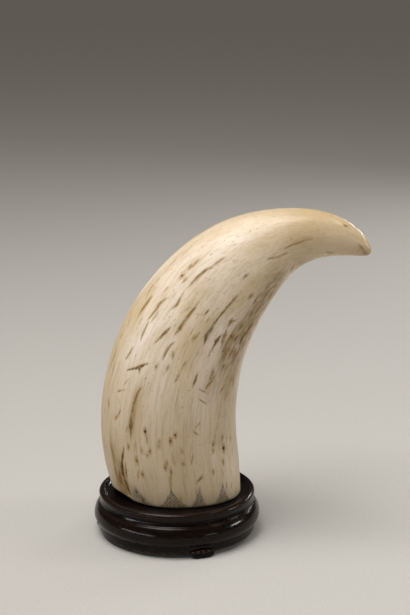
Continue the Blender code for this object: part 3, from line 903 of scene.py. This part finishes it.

# %% [markdown]
# ## Ivory
#
# A sperm whale's tooth is mostly dentine. Scraped and polished, it is dense and slightly see-through, with a
# soft gloss, and with age it yellows unevenly. The finish is built from the ground up: cloudy cream, pale
# clouds of painted light and sheen, fine lines along the growth, short golden streaks and open pores, greasy
# stains, then the strokes, the inked border, and a painted shade with some grime in the hollow and along the
# root's edge. Each of them is a pair of an amount and a colour, and one loop lays every pair over the last.

# %% Ivory's sizes and colours
IVORY_PATTERNS = (
    # name, two widths and a length in mm, detail
    ("cloud", (11.0, 11.0, 34.0), 3.0),  # a paler or darker cloud
    ("lines", (0.9, 0.9, 24.0), 2.0),  # growth lines, drawn a little coarser than real ones so they show
    ("flecks", (1.5, 1.5, 8.0), 1.5),  # short golden streaks
    ("specks", (0.75, 0.75, 1.5), 1.0),  # open pores that took in dirt
    ("wobble", (0.55, 0.55, 1.6), 1.0),  # ragged edge of a stroke
    ("beads", (1.1, 1.1, 2.6), 1.0),  # darker and paler beads along a stroke
)
HATCH_MM = 1.10  # engraved lines, spaced as wide as they must be to show
HATCH_LINE_MM = 0.31
HATCH_LEAN = np.radians(38.0)
HATCH_SHAKE_MM = 0.9
BORDER_GIRTH_MM = 168.0
CREAM_PALE, CREAM, CREAM_DEEP = "#EADDCE", "#DFCEB8", "#D1BC9A"
ROOT_TAN, LINE_TAN, FLECK_GOLD, TIP_WARM = "#B5A181", "#A89068", "#9C7C4A", "#B69A68"
STROKE_GOLD, STROKE_BROWN, STROKE_BLACK = "#9C7830", "#6A4A16", "#38240A"
STAIN_BROWN, HALO_GOLD = "#84662F", "#96773A"
INK_GREY, HOLLOW_SHADE_AND_GRIME = "#3E3628", "#3A2A1A"


# %% Growth of the ivory
def growth_layers(tree, noises, along):
    """Tan towards the root, amber at the tip, pale clouds of painted light and sheen, then growth lines,
    flecks and pores.
    """
    low_part = add(tree, RANGE, {0: along, 1: 88.0, 2: 22.0, 4: 0.75}, interpolation_type=SOFT)
    tip_part = add(tree, RANGE, {0: along, 1: 112.0, 2: 158.0, 4: 0.60}, interpolation_type=SOFT)
    painted_light = add(tree, ATTRIBUTE, attribute_name="painted_light").outputs["Fac"]
    lines = add(tree, RANGE, {0: noises["lines"], 1: 0.46, 2: 0.74, 4: 0.37})
    low_lines = add(tree, MATH, {0: low_part, 1: 0.6, 2: 1.0}, operation="MULTIPLY_ADD")
    lines = add(tree, MATH, {0: lines, 1: low_lines}, operation="MULTIPLY")
    flecks = add(tree, RANGE, {0: noises["flecks"], 1: 0.61, 2: 0.73, 4: 0.65})
    crowded = add(tree, RANGE, {0: noises["cloud"], 1: 0.62, 2: 0.40})
    bare_tip = add(tree, RANGE, {0: along, 1: 125.0, 2: 95.0})
    for amount in (crowded, bare_tip):
        flecks = add(tree, MATH, {0: flecks, 1: amount}, operation="MULTIPLY")
    specks = add(tree, RANGE, {0: noises["specks"], 1: 0.66, 2: 0.76, 4: 0.60})
    return [
        (low_part, linear(ROOT_TAN)),
        (tip_part, linear(TIP_WARM)),
        (painted_light, linear(CREAM_PALE)),
        (lines, linear(LINE_TAN)),
        (flecks, linear(FLECK_GOLD)),
        (specks, linear(FLECK_GOLD)),
    ]


# %% Strokes in the ivory
def stroke_mask(tree, layer, noise):
    """How far a point is inside a stroke: its half width minus the ragged distance to the stroke's line."""
    line, look = (
        add(tree, SEPARATE, {0: add(tree, ATTRIBUTE, attribute_name=name).outputs["Vector"]}).outputs
        for name in (f"stroke_{layer}", f"stroke_look_{layer}")
    )
    past_end = add(tree, MATH, {0: line["Y"], 1: 0.0}, operation="MAXIMUM")
    across = add(tree, MATH, {0: line["X"], 1: line["X"]}, operation="MULTIPLY")
    ends = add(tree, MATH, {0: past_end, 1: past_end}, operation="MULTIPLY")
    away = add(tree, MATH, {0: across, 1: ends}, operation="ADD")
    away = add(tree, MATH, {0: away}, operation="SQRT")
    seeped = add(tree, MATH, {0: ends, 1: SEEPS_ALONG**2, 2: across}, operation="MULTIPLY_ADD")
    seeped = add(tree, MATH, {0: seeped}, operation="SQRT")
    stained = add(tree, MATH, {0: line["Z"], 1: seeped}, operation="SUBTRACT")
    ragged = add(tree, MATH, {0: noise, 1: 1.3, 2: -0.67}, operation="MULTIPLY_ADD")
    clean = add(tree, RANGE, {0: look["Y"], 1: 0.70, 2: 0.86, 3: 1.0, 4: 0.30})
    edge = add(tree, MATH, {0: ragged, 1: clean, 2: away}, operation="MULTIPLY_ADD")
    depth = add(tree, MATH, {0: line["Z"], 1: edge}, operation="SUBTRACT")
    near = add(tree, RANGE, {0: look["X"], 1: 0.05, 2: 0.45}, interpolation_type=SOFT)
    core = add(tree, RANGE, {0: depth, 1: -0.20, 2: 0.30}, interpolation_type=SOFT)
    core = add(tree, MATH, {0: core, 1: near}, operation="MULTIPLY")
    halo = add(tree, RANGE, {0: stained, 1: -0.85, 2: 0.15}, interpolation_type=SOFT)
    halo = add(tree, MATH, {0: halo, 1: look["X"]}, operation="MULTIPLY")
    return core, halo, look["Y"]


def stroke_layers(tree, noises):
    """For each layer of strokes a golden halo and then the stroke; also how strong the strongest is."""
    beads = add(tree, RANGE, {0: noises["beads"], 1: 0.36, 2: 0.56, 3: 0.50, 4: 1.0})
    seeping = add(tree, RANGE, {0: noises["flecks"], 1: 0.36, 2: 0.60, 3: 0.28, 4: 0.82})
    stops = ((0.15, STROKE_GOLD), (0.95, STROKE_BLACK), (0.6, STROKE_BROWN))
    layers, strongest = [], 0.0
    for layer in range(STROKE_LAYERS):
        core, halo, tone = stroke_mask(tree, layer, noises["wobble"])
        halo = add(tree, MATH, {0: halo, 1: seeping}, operation="MULTIPLY")
        strength = add(tree, RANGE, {0: tone, 1: 0.1, 2: 0.75, 3: 0.45, 4: 1.0})
        for amount in (core, beads):
            strength = add(tree, MATH, {0: strength, 1: amount}, operation="MULTIPLY")
        strongest = add(tree, MATH, {0: strength, 1: strongest}, operation="MAXIMUM")
        layers += [(halo, linear(HALO_GOLD)), (strength, add(tree, RAMP, {0: tone}, stops=stops))]
    return layers, strongest


# %% Engraving in the ivory
def hatch_mask(tree, along, border, smudge, noise):
    """Two families of parallel lines that lean either way, kept inside the triangles and the smudge."""
    around = add(tree, SEPARATE, {0: add(tree, "ShaderNodeUVMap", uv_map="surface")}).outputs["X"]
    around = add(tree, MATH, {0: around, 1: BORDER_GIRTH_MM * np.cos(HATCH_LEAN)}, operation="MULTIPLY")
    up = add(tree, MATH, {0: along, 1: np.sin(HATCH_LEAN)}, operation="MULTIPLY")
    lines = []
    for way in ("ADD", "SUBTRACT"):
        place = add(tree, MATH, {0: around, 1: up}, operation=way)
        shaky = add(tree, MATH, {0: noise, 1: HATCH_SHAKE_MM, 2: place}, operation="MULTIPLY_ADD")
        wave = add(tree, MATH, {0: shaky, 1: HATCH_MM / 2}, operation="PINGPONG")
        lines.append(add(tree, RANGE, {0: wave, 1: HATCH_LINE_MM, 2: 0.4 * HATCH_LINE_MM}))
    crossed = add(tree, MATH, {0: lines[0], 1: lines[1]}, operation="MAXIMUM")
    inside = add(tree, RANGE, {0: border, 1: -0.15, 2: 0.25}, interpolation_type=SOFT)
    inked = add(tree, MATH, {0: inside, 1: smudge}, operation="MAXIMUM")
    filled = add(tree, MATH, {0: crossed, 1: inked}, operation="MULTIPLY")
    outline = add(tree, MATH, {0: border}, operation="ABSOLUTE")
    outline = add(tree, RANGE, {0: outline, 1: 0.42, 2: 0.18}, interpolation_type=SOFT)
    outline = add(tree, MATH, {0: outline, 1: 0.6}, operation="MULTIPLY")
    return add(tree, MATH, {0: filled, 1: outline}, operation="MAXIMUM"), inked


def worn_ink(tree, noises, along, border):
    """The hatched lines, rubbed away in places, over a faint grey fill; also the lines as engraved."""
    smudge = add(tree, ATTRIBUTE, attribute_name="smudge").outputs["Fac"]
    drawn, inked = hatch_mask(tree, along, border, smudge, noises["wobble"])
    faint = add(tree, MATH, {0: inked, 1: 0.38}, operation="MULTIPLY")
    worn = add(tree, RANGE, {0: noises["wobble"], 1: 0.30, 2: 0.60, 3: 0.35, 4: 0.9})
    ink = add(tree, MATH, {0: drawn, 1: worn}, operation="MULTIPLY")
    return add(tree, MATH, {0: ink, 1: faint}, operation="MAXIMUM"), drawn


# %% Polished whale ivory
def polished_whale_ivory():
    """Growth, stains, strokes, ink and a painted shade in the hollow over cream clouds; strokes are dull and
    sunk, the tip is polished.
    """
    material, tree, shader = new_material("polished_whale_ivory")
    growth = add(tree, ATTRIBUTE, attribute_name="growth").outputs["Vector"]
    along = add(tree, SEPARATE, {0: growth}).outputs["Z"]
    zones = add(tree, SEPARATE, {0: add(tree, ATTRIBUTE, attribute_name="zones").outputs["Vector"]}).outputs
    noises = {}
    for name, sizes, detail in IVORY_PATTERNS:
        place = add(tree, MAPPING, {0: growth, SCALE: [1.0 / size for size in sizes]})
        noises[name] = add(tree, NOISE, {"Vector": place, "Scale": 1.0, "Detail": detail})
    streaky = add(tree, RANGE, {0: noises["flecks"], 1: 0.36, 2: 0.62, 3: 0.55, 4: 0.95})
    stain = add(tree, MATH, {0: zones["X"], 1: streaky}, operation="MULTIPLY")
    strokes, strongest = stroke_layers(tree, noises)
    ink, drawn = worn_ink(tree, noises, along, zones["Z"])
    layers = growth_layers(tree, noises, along) + [(stain, linear(STAIN_BROWN))] + strokes
    # The hollow's brown is painted shade with some grime: in the hollow, under the broken edge and along the
    # root's edge.
    layers += [(ink, linear(INK_GREY)), (zones["Y"], linear(HOLLOW_SHADE_AND_GRIME))]
    stops = ((0.34, CREAM_DEEP), (0.68, CREAM_PALE), (0.50, CREAM))
    ground = add(tree, RAMP, {0: noises["cloud"]}, stops=stops)
    for amount, colour in layers:
        ground = add(tree, MIX, {FACTOR: amount, FIRST: ground, SECOND: colour}, data_type="RGBA")
    dull = add(tree, RANGE, {0: along, 1: 120.0, 2: 25.0, 3: 0.38, 4: 0.48})
    dull = add(tree, MATH, {0: noises["lines"], 1: 0.12, 2: dull}, operation="MULTIPLY_ADD")
    polished = add(tree, RANGE, {0: along, 1: 138.0, 2: 160.0, 4: -0.17}, interpolation_type=SOFT)
    dull = add(tree, MATH, {0: dull, 1: polished}, operation="ADD")
    dull = add(tree, MATH, {0: strongest, 1: 0.3, 2: dull}, operation="MULTIPLY_ADD")
    height = add(tree, MATH, {0: noises["lines"], 1: -0.05}, operation="MULTIPLY")
    for cut, depth in ((drawn, -0.08), (strongest, -0.12)):
        height = add(tree, MATH, {0: cut, 1: depth, 2: height}, operation="MULTIPLY_ADD")
    bump = add(tree, BUMP, {"Strength": 0.7, "Distance": MM, "Height": height})
    fill(tree, shader, {"Base Color": ground, "Roughness": dull, "Normal": bump, "IOR": 1.54})
    fill(tree, shader, {"Subsurface Weight": 0.12, "Subsurface Radius": (1.0, 0.65, 0.35)})
    fill(tree, shader, {"Subsurface Scale": 1.6 * MM, "Coat Weight": 0.05, "Coat Roughness": 0.14})
    return material


tooth.data.materials.append(polished_whale_ivory())
print("tooth dressed in", tooth.data.materials[0].name)

# %% [markdown]
# ## The turned stand
#
# The stand is one disc of dark hardwood, turned on a lathe: a flat dish that takes the root, a
# cove up to a thin rim, a groove, a step, a swelling belly and a narrow foot ring. A lathe shape
# is a profile carried round an axis, so the whole stand is one list of radii and heights and one
# circle. Arcs and powers give the round stretches, exactly as the gouge would leave them.

# %% The stand's cuts
DISH_RADIUS = ROOT_HALF_WIDTH + 1.6 * MM
RIM_INNER_RADIUS = DISH_RADIUS + 2.4 * MM
RIM_TOP_RADIUS = RIM_INNER_RADIUS + 0.9 * MM
RIM_THICKNESS = 1.5 * MM
RIM_RADIUS = RIM_TOP_RADIUS + RIM_THICKNESS
GROOVE_DEPTH = 0.9 * MM
GROOVE_RADIUS = RIM_RADIUS - GROOVE_DEPTH
SHOULDER_RADIUS = GROOVE_RADIUS + 1.0 * MM
SWELL_OUT = 2.3 * MM
SWELL_RADIUS = SHOULDER_RADIUS + SWELL_OUT
FOOT_RING_INSET = 2.2 * MM
FOOT_RING_RADIUS = SWELL_RADIUS - FOOT_RING_INSET
FOOT_RING_BEVEL = 0.4 * MM
FOOT_THICKNESS = 1.7 * MM
FOOT_RING_BOTTOM = FOOT_THICKNESS + REST_GAP
FOOT_RING_TOP = FOOT_RING_BOTTOM + 3.9 * MM
SWELL_BELOW, SWELL_ABOVE = 3.4 * MM, 5.5 * MM
SWELL_HEIGHT = FOOT_RING_TOP + SWELL_BELOW
SHOULDER_HEIGHT = SWELL_HEIGHT + SWELL_ABOVE
GROOVE_HEIGHT = SHOULDER_HEIGHT + 1.9 * MM
GROOVE_TO_RIM = 2.6 * MM
RIM_WIDEST_HEIGHT = GROOVE_HEIGHT + GROOVE_TO_RIM
RIM_CROWN = 1.4 * MM
RIM_LIP_DROP = 0.4 * MM
RIM_TOP = RIM_WIDEST_HEIGHT + RIM_CROWN
UNDERCUT_RADIUS = FOOT_RING_RADIUS - 10.1 * MM
UNDERCUT_DEPTH, UNDERCUT_TAPER = 3.0 * MM, 1.0 * MM
EDGE_SOFTNESS = 0.35 * MM
COVE_ROWS, SWELL_ROWS = 9, 22
INNERMOST_RADIUS = 0.5 * MM


def arc(centre, wide, high, start, end, steps):
    """Points on an ellipse's arc in the profile's plane, angles in degrees from straight out."""
    turn = np.radians(np.linspace(start, end, steps))
    return np.stack([centre[0] + wide * np.cos(turn), centre[1] + high * np.sin(turn)], axis=-1)


def straight(start, end, steps):
    """Points on the line between two profile places, without its last one."""
    share = np.linspace(0.0, 1.0, steps, endpoint=False)[:, None]
    return np.array(start) + (np.array(end) - np.array(start)) * share


def stand_profile():
    """Radius and height from near the dish's centre over the rim and down under the foot ring."""
    lip = (RIM_TOP_RADIUS, RIM_TOP - RIM_LIP_DROP)
    t = np.linspace(0.0, 1.0, COVE_ROWS)
    cove_radius = DISH_RADIUS + t * (RIM_INNER_RADIUS - DISH_RADIUS)
    cove = np.stack([cove_radius, SEAT_HEIGHT + (lip[1] - SEAT_HEIGHT) * t**2], axis=-1)
    t = np.linspace(1.0, 0.0, SWELL_ROWS)
    swell = np.stack([SWELL_RADIUS - SWELL_OUT * t**2, SWELL_HEIGHT + SWELL_ABOVE * t], axis=-1)
    swell = swell[swell[:, 1] < SHOULDER_HEIGHT - EDGE_SOFTNESS]
    edge = (SHOULDER_RADIUS - EDGE_SOFTNESS, SHOULDER_HEIGHT - EDGE_SOFTNESS)
    ring_edge = (FOOT_RING_RADIUS - FOOT_RING_BEVEL, FOOT_RING_BOTTOM + FOOT_RING_BEVEL)
    roof = FOOT_RING_BOTTOM + UNDERCUT_DEPTH
    return np.concatenate(
        [
            straight((INNERMOST_RADIUS, SEAT_HEIGHT), (DISH_RADIUS - 0.5 * MM, SEAT_HEIGHT), 14),
            cove,
            arc(lip, RIM_TOP_RADIUS - RIM_INNER_RADIUS, RIM_LIP_DROP, 165, 100, 5),
            arc((RIM_TOP_RADIUS, RIM_WIDEST_HEIGHT), RIM_THICKNESS, RIM_CROWN, 90, 0, 14),
            arc((GROOVE_RADIUS, RIM_WIDEST_HEIGHT), GROOVE_DEPTH, GROOVE_TO_RIM, -12, -86, 10),
            straight((GROOVE_RADIUS, GROOVE_HEIGHT), (edge[0], SHOULDER_HEIGHT), 4),
            arc(edge, EDGE_SOFTNESS, EDGE_SOFTNESS, 80, 10, 5),
            swell,
            arc((FOOT_RING_RADIUS, SWELL_HEIGHT), FOOT_RING_INSET, SWELL_BELOW, -6, -88, 14),
            straight((FOOT_RING_RADIUS, FOOT_RING_TOP), (FOOT_RING_RADIUS, ring_edge[1]), 6),
            arc(ring_edge, FOOT_RING_BEVEL, FOOT_RING_BEVEL, 0, -90, 5),
            straight((ring_edge[0] - 0.3 * MM, FOOT_RING_BOTTOM), (UNDERCUT_RADIUS, FOOT_RING_BOTTOM), 8),
            straight((UNDERCUT_RADIUS, FOOT_RING_BOTTOM), (UNDERCUT_RADIUS - UNDERCUT_TAPER, roof), 5),
            straight((UNDERCUT_RADIUS - UNDERCUT_TAPER, roof), (INNERMOST_RADIUS, roof), 9),
        ]
    )


# %% Stand surface
STAND_SIDES = 288
TURNING_MARKS, MARK_SPACING = 0.018, 0.8  # mm, ridges left by the gouge
HANDLING_DENTS, DENT_LENGTH = 0.05, 5.0  # mm
DENTS_LEFT_OUT = 0.55  # share of the noise that stays smooth
EDGE_RUBBING = 2.2  # how fast wear grows with the sharpness of an edge
COVE_SHADOW = 1.5 * MM
COVE_DEPTH = 5.0 * MM


def stand_surface():
    """The profile turned round the axis, with fine gouge rings and a few shallow dents along the outside."""
    profile = stand_profile()
    turn = -2 * np.pi * np.arange(STAND_SIDES) / STAND_SIDES
    radius, height = profile[:, :1], profile[:, 1:]
    rings = np.stack([radius * np.cos(turn) + AXIS_X, radius * np.sin(turn), height + 0 * turn], axis=-1)
    path = np.concatenate([[0.0], np.cumsum(np.hypot(*np.diff(profile, axis=0).T))]) / MM
    around, along = np.meshgrid(turn / (2 * np.pi) * NOISE_CELLS, path)
    marks = lattice_noise(0 * around + 3.0, along / MARK_SPACING, seed=21)
    dents = np.minimum(lattice_noise(around, along / DENT_LENGTH, seed=22) + DENTS_LEFT_OUT, 0.0)
    outside = ((radius > DISH_RADIUS) & (height > FOOT_RING_BOTTOM)).astype(float)
    relief = outside * (TURNING_MARKS * marks + HANDLING_DENTS * dents)
    bend = np.gradient(np.unwrap(np.arctan2(*np.gradient(profile, axis=0).T[::-1])))
    rubbed = np.clip(-bend * EDGE_RUBBING, 0.0, 1.0)
    rubbed = np.convolve(rubbed, [0.25, 0.5, 0.25], "same")[:, None] * outside
    shaded = smoothstep(RIM_INNER_RADIUS, DISH_RADIUS - COVE_SHADOW, radius) * (height > RIM_TOP - COVE_DEPTH)
    wear = np.stack(np.broadcast_arrays(rubbed, shaded, along), axis=-1)
    return rings + ring_normals(rings) * (relief * MM)[..., None], wear


STAND_RINGS, STAND_WEAR = stand_surface()
SEAT_MIDDLE = (AXIS_X, 0.0, SEAT_HEIGHT)
ROOF_MIDDLE = (AXIS_X, 0.0, FOOT_RING_BOTTOM + UNDERCUT_DEPTH)
stand = stack_of_rings("turned_stand", STAND_RINGS, SEAT_MIDDLE, ROOF_MIDDLE, {"wear": STAND_WEAR})
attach(stand, "root")
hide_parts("stand")

# %% [markdown]
# ## The carved feet
#
# Three small feet are glued under the foot ring. Each ends in a toe that turns up in front of the
# ring, with a row of beads carved along its top and a curl at each side. A foot is a closed
# section carried round a short arc of the stand. The beads are a wave along that arc, so the
# carving is a formula too: rounded ridges, deepest between the beads, only on the toe's face.

# %% The feet's cuts
FOOT_DIRECTIONS = (176.0, -64.0, 56.0)
FOOT_WIDTH = 11.0 * MM
FOOT_INNER_RADIUS = FOOT_RING_RADIUS - 7.6 * MM
TOE_INNER_RADIUS = FOOT_RING_RADIUS + REST_GAP
TOE_RADIUS = TOE_INNER_RADIUS + 1.6 * MM
TOE_TOP = FOOT_RING_TOP - 1.9 * MM
TOE_ROUNDING = 0.8 * MM
TOE_SIDE_DROP, TOE_SIDE_BACK = 0.7 * MM, 0.4 * MM
FOOT_SIDE_LIFT = 1.2 * MM
FOOT_FLAT_SHARE = 0.55
BEADS = 5
BEAD_DEPTH = 0.42  # mm
FOOT_ACROSS, FOOT_ROUND = 96, 120
END_SHRINK = (0.3, 0.85, 0.97)  # three more sections close each end
TOE_WEAR_AND_GLINT = 1.2


def foot_section(share):
    """Radius and height round one upright section of a foot, at an even pace; share is -1 to 1 across."""
    curl = max(0.0, abs(share) - FOOT_FLAT_SHARE) / (1.0 - FOOT_FLAT_SHARE)
    lift = FOOT_SIDE_LIFT * curl**2
    front = TOE_RADIUS - TOE_SIDE_BACK * share**2
    top = TOE_TOP - TOE_SIDE_DROP * share**2
    r = TOE_ROUNDING
    corners = [
        (FOOT_INNER_RADIUS, lift),
        (front - r, lift),
        (front - 0.3 * r, lift + 0.3 * r),
        (front, lift + r),
        (front - 0.1 * r, top - 1.2 * r),
        (front - 0.5 * r, top - 0.25 * r),
        (front - 1.1 * r, top),
        (TOE_INNER_RADIUS, top - 0.6 * r),
        (TOE_INNER_RADIUS, FOOT_THICKNESS),
        (FOOT_INNER_RADIUS, FOOT_THICKNESS),
        (FOOT_INNER_RADIUS, lift),
    ]
    corners = np.array(corners)
    pace = np.concatenate([[0.0], np.cumsum(np.hypot(*np.diff(corners, axis=0).T))])
    at = np.linspace(0.0, pace[-1], FOOT_ROUND, endpoint=False)
    return np.stack([np.interp(at, pace, corners[:, 0]), np.interp(at, pace, corners[:, 1])], axis=-1)


def toe_carving(share, radius, height):
    """Depth cut into the toe in mm: gaps between beads on top, one line under them, a curl at each side."""
    up = height / TOE_TOP
    on_face = smoothstep(TOE_RADIUS - 1.3 * MM, TOE_RADIUS - 0.7 * MM, radius)
    beads = 1.0 - np.abs(np.sin(0.5 * np.pi * (share * 0.9 + 1.0) * BEADS)) ** 0.8
    beads = beads * smoothstep(0.54, 0.66, up) * smoothstep(0.92, 0.78, np.abs(share))
    line = np.exp(-(((up - 0.55) / 0.06) ** 2)) * smoothstep(0.95, 0.85, np.abs(share))
    reach = np.hypot((np.abs(share) - 0.66) * 0.5 * FOOT_WIDTH, height - 0.30 * TOE_TOP) / MM
    curl = np.exp(-(((reach - 0.95) / 0.22) ** 2))
    leaf = np.exp(-(((np.abs(share) - 0.55 * (0.52 - up)) / 0.07) ** 2)) * smoothstep(0.52, 0.40, up)
    return on_face * BEAD_DEPTH * np.clip(beads + 0.8 * line + 0.7 * curl + 0.6 * leaf, 0.0, 1.0)


def foot_rings(direction):
    """Sections carried round the arc; the first and last ones shrink to their middles, closing the ends."""
    shares = np.pad(np.linspace(-1.0, 1.0, FOOT_ACROSS), len(END_SHRINK), "edge")
    shrink = np.concatenate([END_SHRINK, np.ones(FOOT_ACROSS), END_SHRINK[::-1]])
    sections = np.stack([foot_section(share) for share in shares])
    middle = sections.mean(axis=1, keepdims=True)
    sections = middle + (sections - middle) * shrink[:, None, None]
    radius, height = sections[..., 0], sections[..., 1]
    cut = toe_carving(shares[:, None], radius, height) * (shrink[:, None] == 1.0)
    radius = radius - cut * MM
    turn = np.radians(direction) + shares[:, None] * 0.5 * FOOT_WIDTH / TOE_RADIUS
    rings = np.stack([radius * np.cos(turn) + AXIS_X, radius * np.sin(turn), height], axis=-1)
    # The toe's bead tops are made browner as wear and as a painted glint.
    rubbed = smoothstep(0.55, 0.80, height / TOE_TOP) * smoothstep(0.22, 0.0, cut)
    rubbed = rubbed * (radius > TOE_RADIUS - 1.3 * MM)
    return rings, np.stack([TOE_WEAR_AND_GLINT * rubbed, cut, height / MM], axis=-1)


# %% [markdown]
# ## Dark wood
#
# The stand is a dense tropical hardwood, stained nearly black, sealed and waxed. Up close it is reddish brown
# where light goes in, with fine dark pores in line with the grain, and the wax gives sharp little reflections
# along every moulding. Edges that hands rub are browner, and on the feet the bead tops of the toes are
# browner too, partly wear and partly a painted glint.

# %% Waxed dark hardwood
WOOD_PATTERNS = (
    # name, length and two widths in mm, detail; the board's grain lies level, along X
    ("grain", (26.0, 1.1, 1.1), 3.0),
    ("pores", (5.0, 0.45, 0.45), 1.0),
    ("figure", (60.0, 7.0, 7.0), 2.0),
)
WOOD_BLACK, WOOD_DARK, WOOD_RED, WOOD_RUBBED_AND_GLINT = "#070606", "#0E0A09", "#1E100B", "#3A271D"


def waxed_dark_hardwood():
    """Black-brown grain with redder bands, browner on rubbed edges and on the toes' bead tops, there partly
    as a painted glint, dull in cuts, under a thin wax coat.
    """
    material, tree, shader = new_material("waxed_dark_hardwood")
    place = add(tree, "ShaderNodeTexCoord").outputs["Object"]
    noises = {}
    for name, sizes, detail in WOOD_PATTERNS:
        scaled = add(tree, MAPPING, {0: place, SCALE: [1.0 / (size * MM) for size in sizes]})
        noises[name] = add(tree, NOISE, {"Vector": scaled, "Scale": 1.0, "Detail": detail})
    wear = add(tree, SEPARATE, {0: add(tree, ATTRIBUTE, attribute_name="wear").outputs["Vector"]}).outputs
    red = add(tree, RANGE, {0: noises["figure"], 1: 0.48, 2: 0.72, 4: 0.45})
    # wear X: rubbed edges of the stand, and on the feet the toes' bead tops, there also a painted glint.
    rubbed = add(tree, MATH, {0: wear["X"], 1: 0.75}, operation="MULTIPLY")
    pores = add(tree, RANGE, {0: noises["pores"], 1: 0.60, 2: 0.72, 4: 0.8})
    stops = ((0.38, WOOD_BLACK), (0.72, WOOD_RED), (0.54, WOOD_DARK))
    wood = add(tree, RAMP, {0: noises["grain"]}, stops=stops)
    for amount, colour in ((red, WOOD_RED), (rubbed, WOOD_RUBBED_AND_GLINT), (pores, WOOD_BLACK)):
        wood = add(tree, MIX, {FACTOR: amount, FIRST: wood, SECOND: linear(colour)}, data_type="RGBA")
    rough = add(tree, RANGE, {0: noises["grain"], 1: 0.3, 2: 0.7, 3: 0.11, 4: 0.19})
    rough = add(tree, MATH, {0: wear["Y"], 1: 0.25, 2: rough}, operation="MULTIPLY_ADD")
    height = add(tree, MATH, {0: pores, 1: -0.05}, operation="MULTIPLY")
    bump = add(tree, BUMP, {"Strength": 0.3, "Distance": MM, "Height": height})
    fill(tree, shader, {"Base Color": wood, "Roughness": rough, "Normal": bump, "IOR": 1.45})
    fill(tree, shader, {"Specular IOR Level": 0.11, "Coat Weight": 0.10, "Coat Roughness": 0.08})
    return material


DARK_WOOD = waxed_dark_hardwood()
stand.data.materials.append(DARK_WOOD)
for number, direction in enumerate(FOOT_DIRECTIONS, start=1):
    rings, wear = foot_rings(direction)
    ends = (rings[0].mean(axis=0), rings[-1].mean(axis=0))
    foot = stack_of_rings(f"carved_foot_{number}", rings, *ends, {"wear": wear})
    foot.data.materials.append(DARK_WOOD)
    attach(foot, "root")
    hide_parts(f"stand_foot_{number}")

# %% [markdown]
# ## Floor and light
#
# The object stands on a plain pale floor in soft studio light. A large soft lamp high on the left
# is the main light, as in the photograph, and two weak ones on the right open the shadows. Wax
# and polish only show what they mirror, so four thin lamps stand where they draw a gleam on the
# stand's mouldings and along the tip's edge. A wide, even light from above and a dim pale room
# fill the rest. The camera doesn't see the lamps.

# %% Floor, lights and world
FLOOR_REACH = 15.0
PAPER_DARK, PAPER_PALE = "#B4B2AE", "#BBB9B5"
PAPER_GRAIN = 900.0  # specks a metre
TOOTH_MIDDLE, TIP_MIDDLE = (0.0, 0.0, 0.09), (0.085, 0.0, 0.14)
LOW_MIDDLE, STAND_MIDDLE = (0.0, 0.0, 0.03), (AXIS_X, 0.0, 0.012)
LAMPS = (
    # name, place, aim, width and height in metres, watts, colour
    ("key_high_left", (-0.24, -0.26, 1.10), TOOTH_MIDDLE, 0.80, 0.60, 11.6, "#FFFCF8"),
    ("fill_high_right", (0.50, 0.06, 0.85), (0.02, 0.0, 0.03), 0.25, 0.20, 0.6, "#FFFAF2"),
    ("fill_right", (1.86, -1.35, 0.32), LOW_MIDDLE, 0.60, 0.12, 1.5, "#FFF6EA"),
    ("gleam_high_front", (-0.28, -0.50, 0.86), STAND_MIDDLE, 0.50, 0.05, 1.2, "#FFFFFF"),
    ("gleam_low_left", (-1.50, -1.35, 0.34), STAND_MIDDLE, 1.80, 0.09, 7.0, "#FFFFFF"),
    ("gleam_right", (0.66, 0.09, 0.23), STAND_MIDDLE, 0.22, 0.02, 1.15, "#FFFFFF"),
    ("gleam_behind_tip", (0.50, 0.83, 0.44), TIP_MIDDLE, 0.45, 0.05, 2.1, "#FFFFFF"),
)
SUN_STRENGTH, SUN_SPREAD, SUN_TILT = 0.44, 60.0, (-14.0, -12.0, 0.0)  # degrees
SUN_COLOUR = "#FFF8EF"
ROOM_COLOUR, ROOM_STRENGTH = "#E6DCCC", 0.11


def make_floor():
    """A square of matt paper with a grain too fine to see, which keeps it from looking flat."""
    mesh = bpy.data.meshes.new("floor")
    corners = [(x * FLOOR_REACH, y * FLOOR_REACH, 0.0) for x, y in ((-1, -1), (1, -1), (1, 1), (-1, 1))]
    mesh.from_pydata(corners, [], [(0, 1, 2, 3)])
    floor = bpy.data.objects.new("floor", mesh)
    bpy.context.scene.collection.objects.link(floor)
    material, tree, shader = new_material("matt_studio_paper")
    place = add(tree, "ShaderNodeTexCoord").outputs["Object"]
    grain = add(tree, NOISE, {"Vector": place, "Scale": PAPER_GRAIN, "Detail": 2.0})
    shade = add(tree, RAMP, {0: grain}, stops=((0.3, PAPER_DARK), (0.7, PAPER_PALE)))
    fill(tree, shader, {"Base Color": shade, "Roughness": 0.9})
    mesh.materials.append(material)


def soft_lamp(name, place, aim, wide, high, watts, colour):
    """A flat lamp that faces the aim and that the camera doesn't see."""
    lamp = bpy.data.lights.new(name, "AREA")
    lamp.shape = "RECTANGLE"
    lamp.size = wide
    lamp.size_y = high
    lamp.energy = watts
    lamp.color = linear(colour)[:3]
    put_in_scene(name, lamp, facing(place, aim), place).visible_camera = False


def make_sky_light():
    """A very wide, weak sun from above: it lights the floor evenly, also far away."""
    sun = bpy.data.lights.new("even_light_above", "SUN")
    sun.energy = SUN_STRENGTH
    sun.color = linear(SUN_COLOUR)[:3]
    sun.angle = np.radians(SUN_SPREAD)
    item = bpy.data.objects.new("even_light_above", sun)
    bpy.context.scene.collection.objects.link(item)
    item.rotation_euler = np.radians(SUN_TILT)


def make_room():
    world = bpy.data.worlds.new("pale_room")
    world.use_nodes = True
    background = world.node_tree.nodes["Background"]
    fill(world.node_tree, background, {"Color": linear(ROOM_COLOUR), "Strength": ROOM_STRENGTH})
    bpy.context.scene.world = world
    bpy.context.scene.view_settings.view_transform = "Standard"


make_floor()
for lamp in LAMPS:
    soft_lamp(*lamp)
make_sky_light()
make_room()
print(len(LAMPS), "soft lamps and an even light from above")
